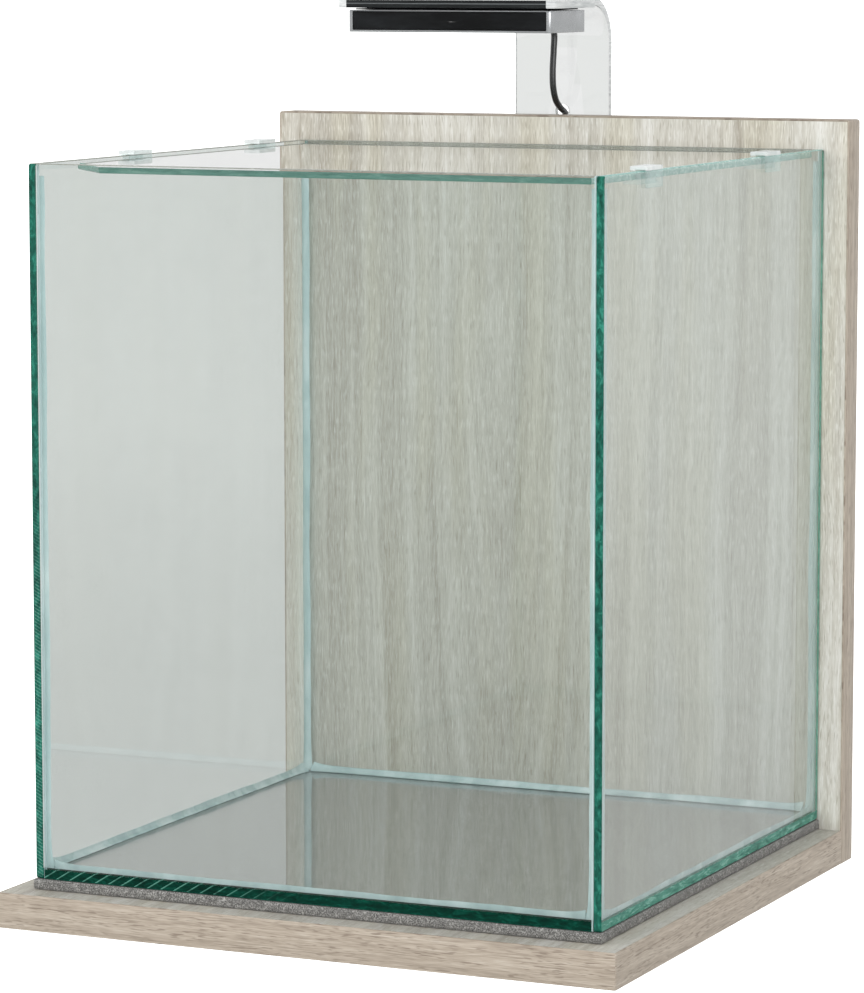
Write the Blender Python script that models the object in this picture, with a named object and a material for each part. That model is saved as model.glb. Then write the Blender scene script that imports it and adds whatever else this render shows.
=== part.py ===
"""Glass aquarium on an L-shaped laminate stand, lit by an LED lamp on a bent acrylic arm.

Metres, +Z up. X runs along the front and Y from the front to the back. The origin is under the
middle of the object, leaving out its cord, on the surface that the object stands on.
"""

import math

import bmesh
import bpy
from mathutils import Vector

# Clearance between pieces that touch
GAP = 0.0003

# Tank
TANK_WIDTH = 0.300
TANK_DEPTH = 0.300
TANK_HEIGHT = 0.351
GLASS = 0.004
GLASS_JOINT = 0.0004
PANE_CORNER = 0.0015
BOTTOM_RAISE = 0.0008
BEAD_LEG = 0.0045
BEAD_TOP_DROP = 0.006

# Cover glass and the clips that carry it
COVER_THICKNESS = 0.003
COVER_DROP = 0.0012
COVER_END_GAP = 0.001
COVER_CUT_X = 0.029
COVER_CUT_Y = 0.032
CLIP_LENGTH = 0.020
CLIP_WALL = 0.0015
CLIP_TOP = 0.002
CLIP_BLOCK = 0.0032
CLIP_OUTER_LEG = 0.008
CLIP_LEDGE_REACH = 0.006
CLIP_LEDGE_THICKNESS = 0.0018
LEFT_CLIPS = (-0.046, 0.094)
RIGHT_CLIPS = (-0.091, 0.070)

# Stand
SIDE_MARGIN = 0.0133
FRONT_MARGIN = 0.0149
PANEL_GAP = 0.0005
BASE_THICKNESS = 0.0175
PANEL_THICKNESS = 0.0168
PANEL_ABOVE_TANK = 0.0152
EDGE_BAND = 0.0006
MAT_THICKNESS = 0.0049
MAT_MARGIN = 0.001
FOOT_RADIUS = 0.010
FOOT_THICKNESS = 0.002
FOOT_INSET = 0.028

# Fasteners of the stand
STAND_SCREW_INSET = 0.0483
STAND_SCREW_RADIUS = 0.003
STAND_SCREW_LENGTH = 0.045
STAND_SCREW_HEAD_RADIUS = 0.005
STAND_SCREW_HEAD = 0.0035
DOWEL_RADIUS = 0.004
DOWEL_IN_PANEL = 0.0105
DOWEL_IN_BASE = 0.018

# Lamp arm: a T of acrylic sheet, bent down behind the panel
LAMP_X = -0.004
ARM_THICKNESS = 0.004
ARM_WIDTH = 0.054
ARM_ABOVE_PANEL = 0.058
ARM_BEND_RADIUS = 0.020
ARM_BELOW_PANEL_TOP = 0.090
ARM_HEAD_OVERHANG = 0.0042
ARM_HEAD_CORNER = 0.003
ARM_SHOULDER_FILLET = 0.004
CORD_HOLE_RADIUS = 0.0037
CORD_HOLE_ABOVE_PANEL = 0.0018
ARM_SCREW_SPACING = 0.030
ARM_SCREW_BELOW_PANEL_TOP = 0.045
ARM_SCREW_RADIUS = 0.002
ARM_SCREW_IN_PANEL = 0.011
ARM_SCREW_HEAD_RADIUS = 0.004
ARM_SCREW_HEAD = 0.0024
WASHER_RADIUS = 0.006
WASHER_THICKNESS = 0.001

# Lamp
LAMP_WIDTH = 0.1116
LAMP_DEPTH = 0.045
LAMP_HEIGHT = 0.0111
LAMP_BEHIND_TANK_FRONT = 0.170
LAMP_CORNER = 0.002
LAMP_WALL = 0.0016
LAMP_CEILING = 0.002
LAMP_LEDGE = 0.0015
TAPE_THICKNESS = 0.0005
TAPE_INSET = 0.003
FRONT_PANEL_THICKNESS = 0.001
RIM_SIDE = 0.0028
RIM_TOP = 0.00085
RIM_BOTTOM = 0.00125
LENS_THICKNESS = 0.002
BOARD_THICKNESS = 0.0012
BOARD_MARGIN = 0.003
LED_SIZE = 0.0035
LED_HEIGHT = 0.0007
LED_COLUMNS = 9
LED_ROWS = 2
LED_EDGE = 0.0077
BOARD_SCREW_INSET = 0.0077
BOARD_SCREW_RADIUS = 0.001
BOARD_SCREW_BITE = 0.0012
BOARD_SCREW_HEAD_RADIUS = 0.0019
BOARD_SCREW_HEAD = 0.0012

# Cord, its gland, its coil and the plug-in power supply
CORD_RADIUS = 0.0017
GLAND_STEM_RADIUS = 0.0026
GLAND_FLANGE_RADIUS = 0.0042
GLAND_FLANGE = 0.002
GLAND_NOSE_RADIUS = 0.0024
GLAND_NOSE = 0.007
COIL_CENTRE = (-0.047, 0.1995)
COIL_RADIUS = 0.019
COIL_LAYERS = 4
COIL_LIFT = 0.0014
TIE_THICKNESS = 0.0008
TIE_WIDTH = 0.008
SUPPLY_SIZE = (0.050, 0.034, 0.028)
SUPPLY_CENTRE = (0.039, 0.207)
SUPPLY_CORNER = 0.003
RELIEF_LENGTH = 0.013
RELIEF_HEIGHT = 0.0055
RELIEF_WIDE_RADIUS = 0.0035
RELIEF_NARROW_RADIUS = 0.0022
PIN_RADIUS = 0.002
PIN_LENGTH = 0.019
PIN_SPACING = 0.019
PIN_HEIGHT = 0.014

# The cord's own points, from the gland to the coil and from the coil to the power supply
CORD_ROUTE = [
    (-0.0040, 0.0693, 0.4433),
    (-0.0040, 0.0780, 0.4433),
    (-0.0040, 0.0950, 0.4436),
    (-0.0040, 0.1150, 0.4442),
    (-0.0040, 0.1330, 0.4436),
    (-0.0040, 0.1455, 0.4405),
    (-0.0040, 0.1512, 0.4348),
    (-0.0040, 0.1508, 0.4260),
    (-0.0040, 0.1496, 0.4158),
    (-0.0040, 0.1502, 0.4065),
    (-0.0040, 0.1540, 0.3992),
    (-0.0040, 0.1605, 0.3950),
    (-0.0040, 0.1668, 0.3922),
    (-0.0040, 0.1713, 0.3875),
    (-0.0040, 0.1730, 0.3800),
    (-0.0040, 0.1728, 0.3600),
    (-0.0040, 0.1725, 0.3200),
    (-0.0040, 0.1724, 0.2600),
    (-0.0040, 0.1724, 0.1900),
    (-0.0040, 0.1724, 0.1200),
    (-0.0040, 0.1726, 0.0600),
    (-0.0044, 0.1731, 0.0340),
    (-0.0060, 0.1741, 0.0190),
    (-0.0095, 0.1757, 0.0090),
    (-0.0150, 0.1776, 0.0042),
    (-0.0220, 0.1794, 0.0026),
    (-0.0315, 0.1805, 0.0029),
]
TAIL_ROUTE = [
    (-0.0315, 0.2185, 0.0133),
    (-0.0245, 0.2182, 0.0120),
    (-0.0180, 0.2160, 0.0094),
    (-0.0120, 0.2120, 0.0070),
    (-0.0070, 0.2083, 0.0058),
    (-0.0030, 0.2071, 0.0055),
    (0.0002, 0.2070, 0.0055),
]
CORD_STEP = 0.0085

# Heights, from the standing surface up
BASE_BOTTOM = FOOT_THICKNESS + GAP
BASE_TOP = BASE_BOTTOM + BASE_THICKNESS
BASE_MIDDLE = (BASE_BOTTOM + BASE_TOP) / 2
MAT_BOTTOM = BASE_TOP + GAP
TANK_BOTTOM = MAT_BOTTOM + MAT_THICKNESS + GAP
TANK_TOP = TANK_BOTTOM + TANK_HEIGHT
FLOOR_PANE_TOP = TANK_BOTTOM + BOTTOM_RAISE + GLASS
COVER_TOP = TANK_TOP - COVER_DROP
COVER_BOTTOM = COVER_TOP - COVER_THICKNESS
PANEL_TOP = TANK_TOP + PANEL_ABOVE_TANK
ARM_BOTTOM_FACE = PANEL_TOP + ARM_ABOVE_PANEL
TAPE_TOP = ARM_BOTTOM_FACE - GAP
LAMP_TOP = TAPE_TOP - TAPE_THICKNESS - GAP
LAMP_BOTTOM = LAMP_TOP - LAMP_HEIGHT
LAMP_MIDDLE = (LAMP_TOP + LAMP_BOTTOM) / 2

# Depths, from the front back; the object is centred from its front to its rearmost screw heads
OVERALL_DEPTH = (
    FRONT_MARGIN + TANK_DEPTH + PANEL_GAP + PANEL_THICKNESS
    + GAP + ARM_THICKNESS + GAP + WASHER_THICKNESS + GAP + ARM_SCREW_HEAD
)
STAND_FRONT = -OVERALL_DEPTH / 2
TANK_FRONT = STAND_FRONT + FRONT_MARGIN
TANK_REAR = TANK_FRONT + TANK_DEPTH
TANK_MIDDLE = (TANK_FRONT + TANK_REAR) / 2
PANEL_FRONT = TANK_REAR + PANEL_GAP
PANEL_REAR = PANEL_FRONT + PANEL_THICKNESS
ARM_FRONT = PANEL_REAR + GAP
ARM_REAR = ARM_FRONT + ARM_THICKNESS
LAMP_FRONT = TANK_FRONT + LAMP_BEHIND_TANK_FRONT
LAMP_REAR = LAMP_FRONT + LAMP_DEPTH

# Half widths
TANK_SIDE = TANK_WIDTH / 2
STAND_SIDE = TANK_SIDE + SIDE_MARGIN
BOARD_SIDE = STAND_SIDE - EDGE_BAND - GAP
OUTER_SCREW = STAND_SIDE - STAND_SCREW_INSET
DOWEL_SIDE = OUTER_SCREW / 2
PANE_INSIDE = TANK_SIDE - GLASS
CLIP_INSIDE = PANE_INSIDE - GAP - CLIP_BLOCK
COVER_SIDE = CLIP_INSIDE - GAP

ROUND_STEPS = 20
CORNER_STEPS = 4


# ---------------------------------------------------------------- helpers


def clear_scene():
    for obj in list(bpy.data.objects):
        bpy.data.objects.remove(obj, do_unlink=True)


def material(name, colour, roughness, metallic=0.0, transmission=0.0, ior=1.5):
    made = bpy.data.materials.new(name)
    made.use_nodes = True
    shader = made.node_tree.nodes["Principled BSDF"]
    shader.inputs["Base Color"].default_value = (*colour, 1.0)
    shader.inputs["Roughness"].default_value = roughness
    shader.inputs["Metallic"].default_value = metallic
    shader.inputs["Transmission Weight"].default_value = transmission
    shader.inputs["IOR"].default_value = ior
    return made


def empty(name, location):
    made = bpy.data.objects.new(name, None)
    made.empty_display_size = 0.05
    made.location = location
    bpy.context.scene.collection.objects.link(made)
    return made


def put(name, shape, where, finish=None, parent=None):
    """Turns a bmesh drawn in world space into an object with its origin at `where`."""
    bmesh.ops.recalc_face_normals(shape, faces=shape.faces[:])
    bmesh.ops.translate(shape, verts=shape.verts[:], vec=-Vector(where))
    mesh = bpy.data.meshes.new(name)
    shape.to_mesh(mesh)
    shape.free()
    made = bpy.data.objects.new(name, mesh)
    bpy.context.scene.collection.objects.link(made)
    made.location = where
    if finish:
        mesh.materials.append(finish)
    if parent:
        made.parent = parent
        made.location = Vector(where) - parent.location
    return made


def box(name, low, high, finish=None, parent=None):
    shape = bmesh.new()
    centre = (Vector(low) + Vector(high)) / 2
    size = Vector(high) - Vector(low)
    bmesh.ops.create_cube(shape, size=1.0)
    bmesh.ops.scale(shape, verts=shape.verts[:], vec=size)
    bmesh.ops.translate(shape, verts=shape.verts[:], vec=centre)
    return put(name, shape, centre, finish, parent)


def rounded(width, height, radius):
    """Outline of a rectangle about (0, 0) with round corners."""
    points = []
    for quarter, (sx, sy) in enumerate(((1, 1), (-1, 1), (-1, -1), (1, -1))):
        centre_x = sx * (width / 2 - radius)
        centre_y = sy * (height / 2 - radius)
        for step in range(CORNER_STEPS + 1):
            turn = math.radians(90) * (quarter + step / CORNER_STEPS)
            points.append((centre_x + radius * math.cos(turn), centre_y + radius * math.sin(turn)))
    return points


def prism(name, outline, axis, low, high, finish=None, parent=None):
    """A closed outline of (first, second) points across `axis`, run from `low` to `high` along it."""
    def at(point, along):
        first, second = point
        return {"X": (along, first, second), "Y": (first, along, second), "Z": (first, second, along)}[axis]

    shape = bmesh.new()
    start = [shape.verts.new(at(point, low)) for point in outline]
    end = [shape.verts.new(at(point, high)) for point in outline]
    shape.faces.new(start)
    shape.faces.new(end)
    for index in range(len(outline)):
        after = (index + 1) % len(outline)
        shape.faces.new((start[index], start[after], end[after], end[index]))
    corners = [Vector(at(point, along)) for point in outline for along in (low, high)]
    lowest = Vector(min(corner[i] for corner in corners) for i in range(3))
    highest = Vector(max(corner[i] for corner in corners) for i in range(3))
    return put(name, shape, (lowest + highest) / 2, finish, parent)


def turned(name, profile, base, direction, finish=None, parent=None, steps=ROUND_STEPS):
    """A profile of (radius, height) points, first and last on the axis, turned about `direction`."""
    along = Vector(direction).normalized()
    across = along.orthogonal().normalized()
    other = along.cross(across)
    shape = bmesh.new()
    rings = []
    for radius, height in profile:
        centre = Vector(base) + along * height
        if radius == 0:
            rings.append([shape.verts.new(centre)])
            continue
        ring = []
        for step in range(steps):
            turn = 2 * math.pi * step / steps
            ring.append(shape.verts.new(centre + radius * (across * math.cos(turn) + other * math.sin(turn))))
        rings.append(ring)
    for first, second in zip(rings, rings[1:]):
        for step in range(steps):
            after = (step + 1) % steps
            corners = [first[step % len(first)], first[after % len(first)]]
            corners += [second[after % len(second)], second[step % len(second)]]
            shape.faces.new(list(dict.fromkeys(corners)))
    made = put(name, shape, base, finish, parent)
    made.data.shade_smooth()
    made.data.set_sharp_from_angle(angle=math.radians(40))
    return made


def rod(name, radius, base, direction, length, finish=None, parent=None):
    profile = ((0, 0), (radius, 0), (radius, length), (0, length))
    return turned(name, profile, base, direction, finish, parent)


def screw(name, head_radius, head, radius, length, head_face, direction, finish, parent):
    """A screw whose head starts at `head_face` and whose shank ends `length` past the head."""
    dome = head_radius * 0.8
    profile = (
        (0, 0), (dome, 0), (head_radius, head * 0.3), (head_radius, head),
        (radius, head), (radius, head + length * 0.85), (0, head + length),
    )
    return turned(name, profile, head_face, direction, finish, parent)


def cut(target, *cutters):
    for cutter in cutters:
        cutter.hide_render = True
        cutter.display_type = "WIRE"
        boolean = target.modifiers.new(cutter.name, "BOOLEAN")
        boolean.operation = "DIFFERENCE"
        boolean.object = cutter


def soften(target, width, segments=2):
    bevel = target.modifiers.new("soft_edges", "BEVEL")
    bevel.width = width
    bevel.segments = segments
    bevel.limit_method = "ANGLE"


def smooth_path(route, step):
    """Points a `step` apart along a centripetal Catmull-Rom curve through the route."""
    points = [Vector(point) for point in route]
    points = [2 * points[0] - points[1], *points, 2 * points[-1] - points[-2]]
    fine = []
    for before, start, end, after in zip(points, points[1:], points[2:], points[3:]):
        k1 = (start - before).length ** 0.5
        k2 = k1 + (end - start).length ** 0.5
        k3 = k2 + (after - end).length ** 0.5
        for index in range(24):
            k = k1 + (k2 - k1) * index / 24
            a1 = before.lerp(start, k / k1)
            a2 = start.lerp(end, (k - k1) / (k2 - k1))
            a3 = end.lerp(after, (k - k2) / (k3 - k2))
            b1 = a1.lerp(a2, k / k2)
            b2 = a2.lerp(a3, (k - k1) / (k3 - k1))
            fine.append(b1.lerp(b2, (k - k1) / (k2 - k1)))
    fine.append(points[-2])
    lengths = [0.0]
    for first, second in zip(fine, fine[1:]):
        lengths.append(lengths[-1] + (second - first).length)
    count = max(2, round(lengths[-1] / step))
    path = []
    index = 0
    for number in range(count + 1):
        wanted = lengths[-1] * number / count
        while index < len(fine) - 2 and lengths[index + 1] < wanted:
            index += 1
        share = (wanted - lengths[index]) / (lengths[index + 1] - lengths[index])
        path.append(fine[index].lerp(fine[index + 1], share))
    return path


def tube(name, route, finish, parent):
    curve = bpy.data.curves.new(name, "CURVE")
    curve.dimensions = "3D"
    curve.bevel_depth = CORD_RADIUS
    curve.bevel_resolution = 2
    curve.use_fill_caps = True
    path = smooth_path(route, CORD_STEP)
    spline = curve.splines.new("POLY")
    spline.points.add(len(path) - 1)
    for point, place in zip(spline.points, path):
        point.co = (*place, 1.0)
    curve.materials.append(finish)
    made = bpy.data.objects.new(name, curve)
    bpy.context.scene.collection.objects.link(made)
    made.parent = parent
    return made


# ---------------------------------------------------------------- stand


def stand_boards(parent, laminate):
    base = box(
        "base_board",
        (-BOARD_SIDE, STAND_FRONT + EDGE_BAND + GAP, BASE_BOTTOM),
        (BOARD_SIDE, PANEL_FRONT - GAP, BASE_TOP),
        laminate, parent,
    )
    panel = box(
        "back_panel",
        (-BOARD_SIDE, PANEL_FRONT, BASE_BOTTOM),
        (BOARD_SIDE, PANEL_REAR, PANEL_TOP - EDGE_BAND - GAP),
        laminate, parent,
    )
    forward = (0, -1, 0)
    backward = (0, 1, 0)
    clear = 0.01
    for number, x in enumerate((-OUTER_SCREW, 0, OUTER_SCREW), 1):
        shank = STAND_SCREW_RADIUS + GAP
        head = STAND_SCREW_HEAD_RADIUS + GAP
        shoulder = clear + STAND_SCREW_HEAD + 2 * GAP
        through = 2 * clear + PANEL_THICKNESS
        stepped = ((0, 0), (head, 0), (head, shoulder), (shank, shoulder), (shank, through), (0, through))
        cut(panel, turned(
            f"cut_screw_panel_{number}", stepped, (x, PANEL_REAR + clear, BASE_MIDDLE), forward))
        shank_in_base = STAND_SCREW_HEAD + STAND_SCREW_LENGTH - PANEL_THICKNESS + 2 * GAP
        cut(base, rod(
            f"cut_screw_base_{number}", shank,
            (x, PANEL_FRONT + clear, BASE_MIDDLE), forward, clear + shank_in_base))
    for side, x in (("left", -DOWEL_SIDE), ("right", DOWEL_SIDE)):
        cut(panel, rod(
            f"cut_dowel_panel_{side}", DOWEL_RADIUS + GAP,
            (x, PANEL_FRONT - clear, BASE_MIDDLE), backward, clear + DOWEL_IN_PANEL + GAP))
        cut(base, rod(
            f"cut_dowel_base_{side}", DOWEL_RADIUS + GAP,
            (x, PANEL_FRONT + clear, BASE_MIDDLE), forward, clear + DOWEL_IN_BASE + GAP))
    for side, x in (("left", -ARM_SCREW_SPACING / 2), ("right", ARM_SCREW_SPACING / 2)):
        cut(panel, rod(
            f"cut_arm_screw_panel_{side}", ARM_SCREW_RADIUS + GAP,
            (LAMP_X + x, PANEL_REAR + clear, PANEL_TOP - ARM_SCREW_BELOW_PANEL_TOP),
            forward, clear + ARM_SCREW_IN_PANEL + GAP))


def edge_bands(parent, banding):
    band_front = STAND_FRONT + EDGE_BAND
    box("base_edge_front", (-STAND_SIDE, STAND_FRONT, BASE_BOTTOM), (STAND_SIDE, band_front, BASE_TOP),
        banding, parent)
    top_band_bottom = PANEL_TOP - EDGE_BAND
    box("panel_edge_top", (-STAND_SIDE, PANEL_FRONT, top_band_bottom), (STAND_SIDE, PANEL_REAR, PANEL_TOP),
        banding, parent)
    for side, sign in (("left", -1), ("right", 1)):
        inner, outer = sorted((sign * (STAND_SIDE - EDGE_BAND), sign * STAND_SIDE))
        box(f"base_edge_{side}", (inner, band_front + GAP, BASE_BOTTOM), (outer, PANEL_FRONT - GAP, BASE_TOP),
            banding, parent)
        box(f"panel_edge_{side}", (inner, PANEL_FRONT, BASE_BOTTOM),
            (outer, PANEL_REAR, top_band_bottom - GAP), banding, parent)


def stand_fasteners(parent, steel, beech):
    for number, x in enumerate((-OUTER_SCREW, 0, OUTER_SCREW), 1):
        screw(f"stand_screw_{number}", STAND_SCREW_HEAD_RADIUS, STAND_SCREW_HEAD, STAND_SCREW_RADIUS,
              STAND_SCREW_LENGTH, (x, PANEL_REAR - GAP, BASE_MIDDLE), (0, -1, 0), steel, parent)
    chamfer = 0.001
    for side, x in (("left", -DOWEL_SIDE), ("right", DOWEL_SIDE)):
        length = DOWEL_IN_PANEL + DOWEL_IN_BASE
        profile = (
            (0, 0), (DOWEL_RADIUS - chamfer, 0), (DOWEL_RADIUS, chamfer),
            (DOWEL_RADIUS, length - chamfer), (DOWEL_RADIUS - chamfer, length), (0, length),
        )
        turned(f"stand_dowel_{side}", profile, (x, PANEL_FRONT - DOWEL_IN_BASE, BASE_MIDDLE),
               (0, 1, 0), beech, parent)


def feet(parent, felt):
    side = STAND_SIDE - FOOT_INSET
    chamfer = FOOT_THICKNESS / 4
    profile = (
        (0, 0), (FOOT_RADIUS, 0), (FOOT_RADIUS, FOOT_THICKNESS - chamfer),
        (FOOT_RADIUS - chamfer, FOOT_THICKNESS), (0, FOOT_THICKNESS),
    )
    for row, y in (("front", STAND_FRONT + FOOT_INSET), ("rear", PANEL_FRONT - FOOT_INSET)):
        for name, x in (("left", -side), ("right", side)):
            turned(f"foot_{row}_{name}", profile, (x, y, 0), (0, 0, 1), felt, parent, steps=28)


def foam_mat(parent, foam):
    side = TANK_SIDE + MAT_MARGIN
    box("foam_mat", (-side, TANK_FRONT - MAT_MARGIN, MAT_BOTTOM),
        (side, TANK_REAR, MAT_BOTTOM + MAT_THICKNESS), foam, parent)


# ---------------------------------------------------------------- tank


def panes(parent, glass):
    """The side panes run the full depth; the front, rear and bottom panes stand between them."""
    outline = [
        (TANK_MIDDLE + y, (TANK_BOTTOM + TANK_TOP) / 2 + z)
        for y, z in rounded(TANK_DEPTH, TANK_HEIGHT, PANE_CORNER)
    ]
    prism("left_pane", outline, "X", -TANK_SIDE, -PANE_INSIDE, glass, parent)
    prism("right_pane", outline, "X", PANE_INSIDE, TANK_SIDE, glass, parent)
    between = PANE_INSIDE - GLASS_JOINT
    box("front_pane", (-between, TANK_FRONT, TANK_BOTTOM), (between, TANK_FRONT + GLASS, TANK_TOP),
        glass, parent)
    box("rear_pane", (-between, TANK_REAR - GLASS, TANK_BOTTOM), (between, TANK_REAR, TANK_TOP),
        glass, parent)
    box("bottom_pane",
        (-between, TANK_FRONT + GLASS + GLASS_JOINT, TANK_BOTTOM + BOTTOM_RAISE),
        (between, TANK_REAR - GLASS - GLASS_JOINT, FLOOR_PANE_TOP),
        glass, parent)


def bead_outline(corner_a, corner_b, sign_a, sign_b):
    """A hollow fillet in the corner (corner_a, corner_b), its legs running along sign_a and sign_b."""
    points = [(corner_a, corner_b)]
    for step in range(6):
        turn = math.radians(90) * step / 5
        points.append((
            corner_a + sign_a * BEAD_LEG * (1 - math.sin(turn)),
            corner_b + sign_b * BEAD_LEG * (1 - math.cos(turn)),
        ))
    return points


def silicone(parent, sealant):
    side = PANE_INSIDE - GAP
    front = TANK_FRONT + GLASS + GAP
    rear = TANK_REAR - GLASS - GAP
    floor = FLOOR_PANE_TOP + GAP
    top = TANK_TOP - BEAD_TOP_DROP
    ends = {"front": (front, 1), "rear": (rear, -1)}
    sides = {"left": (-side, 1), "right": (side, -1)}
    for end, (y, into_y) in ends.items():
        for name, (x, into_x) in sides.items():
            prism(f"silicone_{end}_{name}", bead_outline(x, y, into_x, into_y), "Z", floor, top,
                  sealant, parent)
        reach = side - BEAD_LEG - GAP
        prism(f"silicone_bottom_{end}", bead_outline(y, floor, into_y, 1), "X", -reach, reach,
              sealant, parent)
    for name, (x, into_x) in sides.items():
        prism(f"silicone_bottom_{name}", bead_outline(x, floor, into_x, 1), "Y",
              front + BEAD_LEG + GAP, rear - BEAD_LEG - GAP, sealant, parent)


def clips(parent, clear_plastic):
    """Each clip hooks over a side pane and holds a ledge under the cover glass."""
    slot_top = TANK_TOP + GAP
    cap_top = slot_top + CLIP_TOP
    outer = TANK_SIDE + GAP
    ledge_top = COVER_BOTTOM - GAP
    ledge_bottom = ledge_top - CLIP_LEDGE_THICKNESS
    ledge_end = COVER_SIDE - CLIP_LEDGE_REACH
    half_outline = [
        (outer + CLIP_WALL, cap_top), (CLIP_INSIDE, cap_top), (CLIP_INSIDE, ledge_top),
        (ledge_end, ledge_top), (ledge_end, ledge_bottom), (PANE_INSIDE - GAP, ledge_bottom),
        (PANE_INSIDE - GAP, slot_top), (outer, slot_top), (outer, TANK_TOP - CLIP_OUTER_LEG),
        (outer + CLIP_WALL, TANK_TOP - CLIP_OUTER_LEG),
    ]
    for name, sign, places in (("left", -1, LEFT_CLIPS), ("right", 1, RIGHT_CLIPS)):
        outline = [(sign * x, z) for x, z in half_outline]
        for end, place in zip(("front", "rear"), places):
            middle = TANK_MIDDLE + place
            prism(f"cover_clip_{name}_{end}", outline, "Y", middle - CLIP_LENGTH / 2,
                  middle + CLIP_LENGTH / 2, clear_plastic, parent)


def cover_glass(parent, glass):
    front = TANK_FRONT + GLASS + COVER_END_GAP
    rear = TANK_REAR - GLASS - COVER_END_GAP
    outline = [
        (-COVER_SIDE + COVER_CUT_X, front), (COVER_SIDE, front), (COVER_SIDE, rear),
        (-COVER_SIDE, rear), (-COVER_SIDE, front + COVER_CUT_Y),
    ]
    prism("cover_glass", outline, "Z", COVER_BOTTOM, COVER_TOP, glass, parent)


# ---------------------------------------------------------------- lamp


def arm_chain():
    """One side of the flat T as (half width, distance from its front edge), in three stretches."""
    head_side = LAMP_WIDTH / 2 + ARM_HEAD_OVERHANG
    head_length = LAMP_DEPTH + 2 * ARM_HEAD_OVERHANG
    strip_side = ARM_WIDTH / 2
    bend_start = ARM_FRONT - ARM_BEND_RADIUS - (LAMP_FRONT - ARM_HEAD_OVERHANG)
    steps = 10
    bend_length = (ARM_BEND_RADIUS + ARM_THICKNESS / 2) * math.pi / 2
    drop = ARM_BOTTOM_FACE - ARM_BEND_RADIUS - (PANEL_TOP - ARM_BELOW_PANEL_TOP)
    end = bend_start + bend_length + drop

    def arc(half_width, along, radius, start):
        turns = [math.radians(start + 90 * step / CORNER_STEPS) for step in range(CORNER_STEPS + 1)]
        return [(half_width + radius * math.cos(t), along + radius * math.sin(t)) for t in turns]

    corner = ARM_HEAD_CORNER
    fillet = ARM_SHOULDER_FILLET
    level = arc(head_side - corner, corner, corner, -90)
    level += arc(head_side - corner, head_length - corner, corner, 0)
    level += [(x, y) for x, y in reversed(arc(strip_side + fillet, head_length + fillet, fillet, 180))]
    level.append((strip_side, bend_start))
    bend = [(strip_side, bend_start + bend_length * step / steps) for step in range(1, steps + 1)]
    upright = arc(strip_side - corner, end - corner, corner, 0)
    return level, bend, upright, bend_start, bend_length


def lamp_arm(parent, acrylic):
    level, bend, upright, bend_start, bend_length = arm_chain()
    first_y = LAMP_FRONT - ARM_HEAD_OVERHANG

    def bent(across, along, rise):
        """A point of the flat sheet, `rise` above its underside, after the bend."""
        if along <= bend_start:
            return (LAMP_X + across, first_y + along, ARM_BOTTOM_FACE + rise)
        turn = min(1.0, (along - bend_start) / bend_length) * math.pi / 2
        past = max(0.0, along - bend_start - bend_length)
        radius = ARM_BEND_RADIUS + rise
        y = first_y + bend_start + radius * math.sin(turn)
        z = ARM_BOTTOM_FACE - ARM_BEND_RADIUS + radius * math.cos(turn) - past
        return (LAMP_X + across, y, z)

    chain = level + bend + upright
    shape = bmesh.new()
    rows = {}
    for sign in (-1, 1):
        for rise in (0, ARM_THICKNESS):
            rows[sign, rise] = [shape.verts.new(bent(sign * x, s, rise)) for x, s in chain]
    flat_end = len(level)
    bend_end = flat_end + len(bend)
    for rise in (0, ARM_THICKNESS):
        right = rows[1, rise]
        left = rows[-1, rise]
        shape.faces.new(right[:flat_end] + left[:flat_end][::-1])
        for index in range(flat_end - 1, bend_end - 1):
            shape.faces.new((right[index], right[index + 1], left[index + 1], left[index]))
        shape.faces.new(right[bend_end - 1:] + left[bend_end - 1:][::-1])
    for sign in (-1, 1):
        under = rows[sign, 0]
        over = rows[sign, ARM_THICKNESS]
        for index in range(len(chain) - 1):
            shape.faces.new((under[index], under[index + 1], over[index + 1], over[index]))
    for index in (0, -1):
        shape.faces.new((
            rows[-1, 0][index], rows[1, 0][index],
            rows[1, ARM_THICKNESS][index], rows[-1, ARM_THICKNESS][index],
        ))
    arm = put("lamp_arm", shape, (LAMP_X, ARM_FRONT, PANEL_TOP), acrylic, parent)
    reach = 0.01
    hole_z = PANEL_TOP + CORD_HOLE_ABOVE_PANEL
    cut(arm, rod("cut_cord_hole", CORD_HOLE_RADIUS, (LAMP_X, ARM_FRONT - reach, hole_z), (0, 1, 0),
                 ARM_THICKNESS + 2 * reach))
    for name, x in (("left", -ARM_SCREW_SPACING / 2), ("right", ARM_SCREW_SPACING / 2)):
        place = (LAMP_X + x, ARM_FRONT - reach, PANEL_TOP - ARM_SCREW_BELOW_PANEL_TOP)
        cut(arm, rod(f"cut_arm_hole_{name}", ARM_SCREW_RADIUS + GAP, place, (0, 1, 0),
                     ARM_THICKNESS + 2 * reach))


def arm_fasteners(parent, steel, nylon):
    height = PANEL_TOP - ARM_SCREW_BELOW_PANEL_TOP
    washer_front = ARM_REAR + GAP
    washer_rear = washer_front + WASHER_THICKNESS
    for name, x in (("left", -ARM_SCREW_SPACING / 2), ("right", ARM_SCREW_SPACING / 2)):
        washer = rod(f"arm_washer_{name}", WASHER_RADIUS, (LAMP_X + x, washer_front, height), (0, 1, 0),
                     WASHER_THICKNESS, nylon, parent)
        cut(washer, rod(f"cut_washer_{name}", ARM_SCREW_RADIUS + GAP,
                        (LAMP_X + x, washer_front - WASHER_RADIUS, height), (0, 1, 0), 2 * WASHER_RADIUS))
        head_face = washer_rear + GAP + ARM_SCREW_HEAD
        length = washer_rear + GAP - (PANEL_REAR - ARM_SCREW_IN_PANEL)
        screw(f"arm_screw_{name}", ARM_SCREW_HEAD_RADIUS, ARM_SCREW_HEAD, ARM_SCREW_RADIUS, length,
              (LAMP_X + x, head_face, height), (0, -1, 0), steel, parent)


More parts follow.
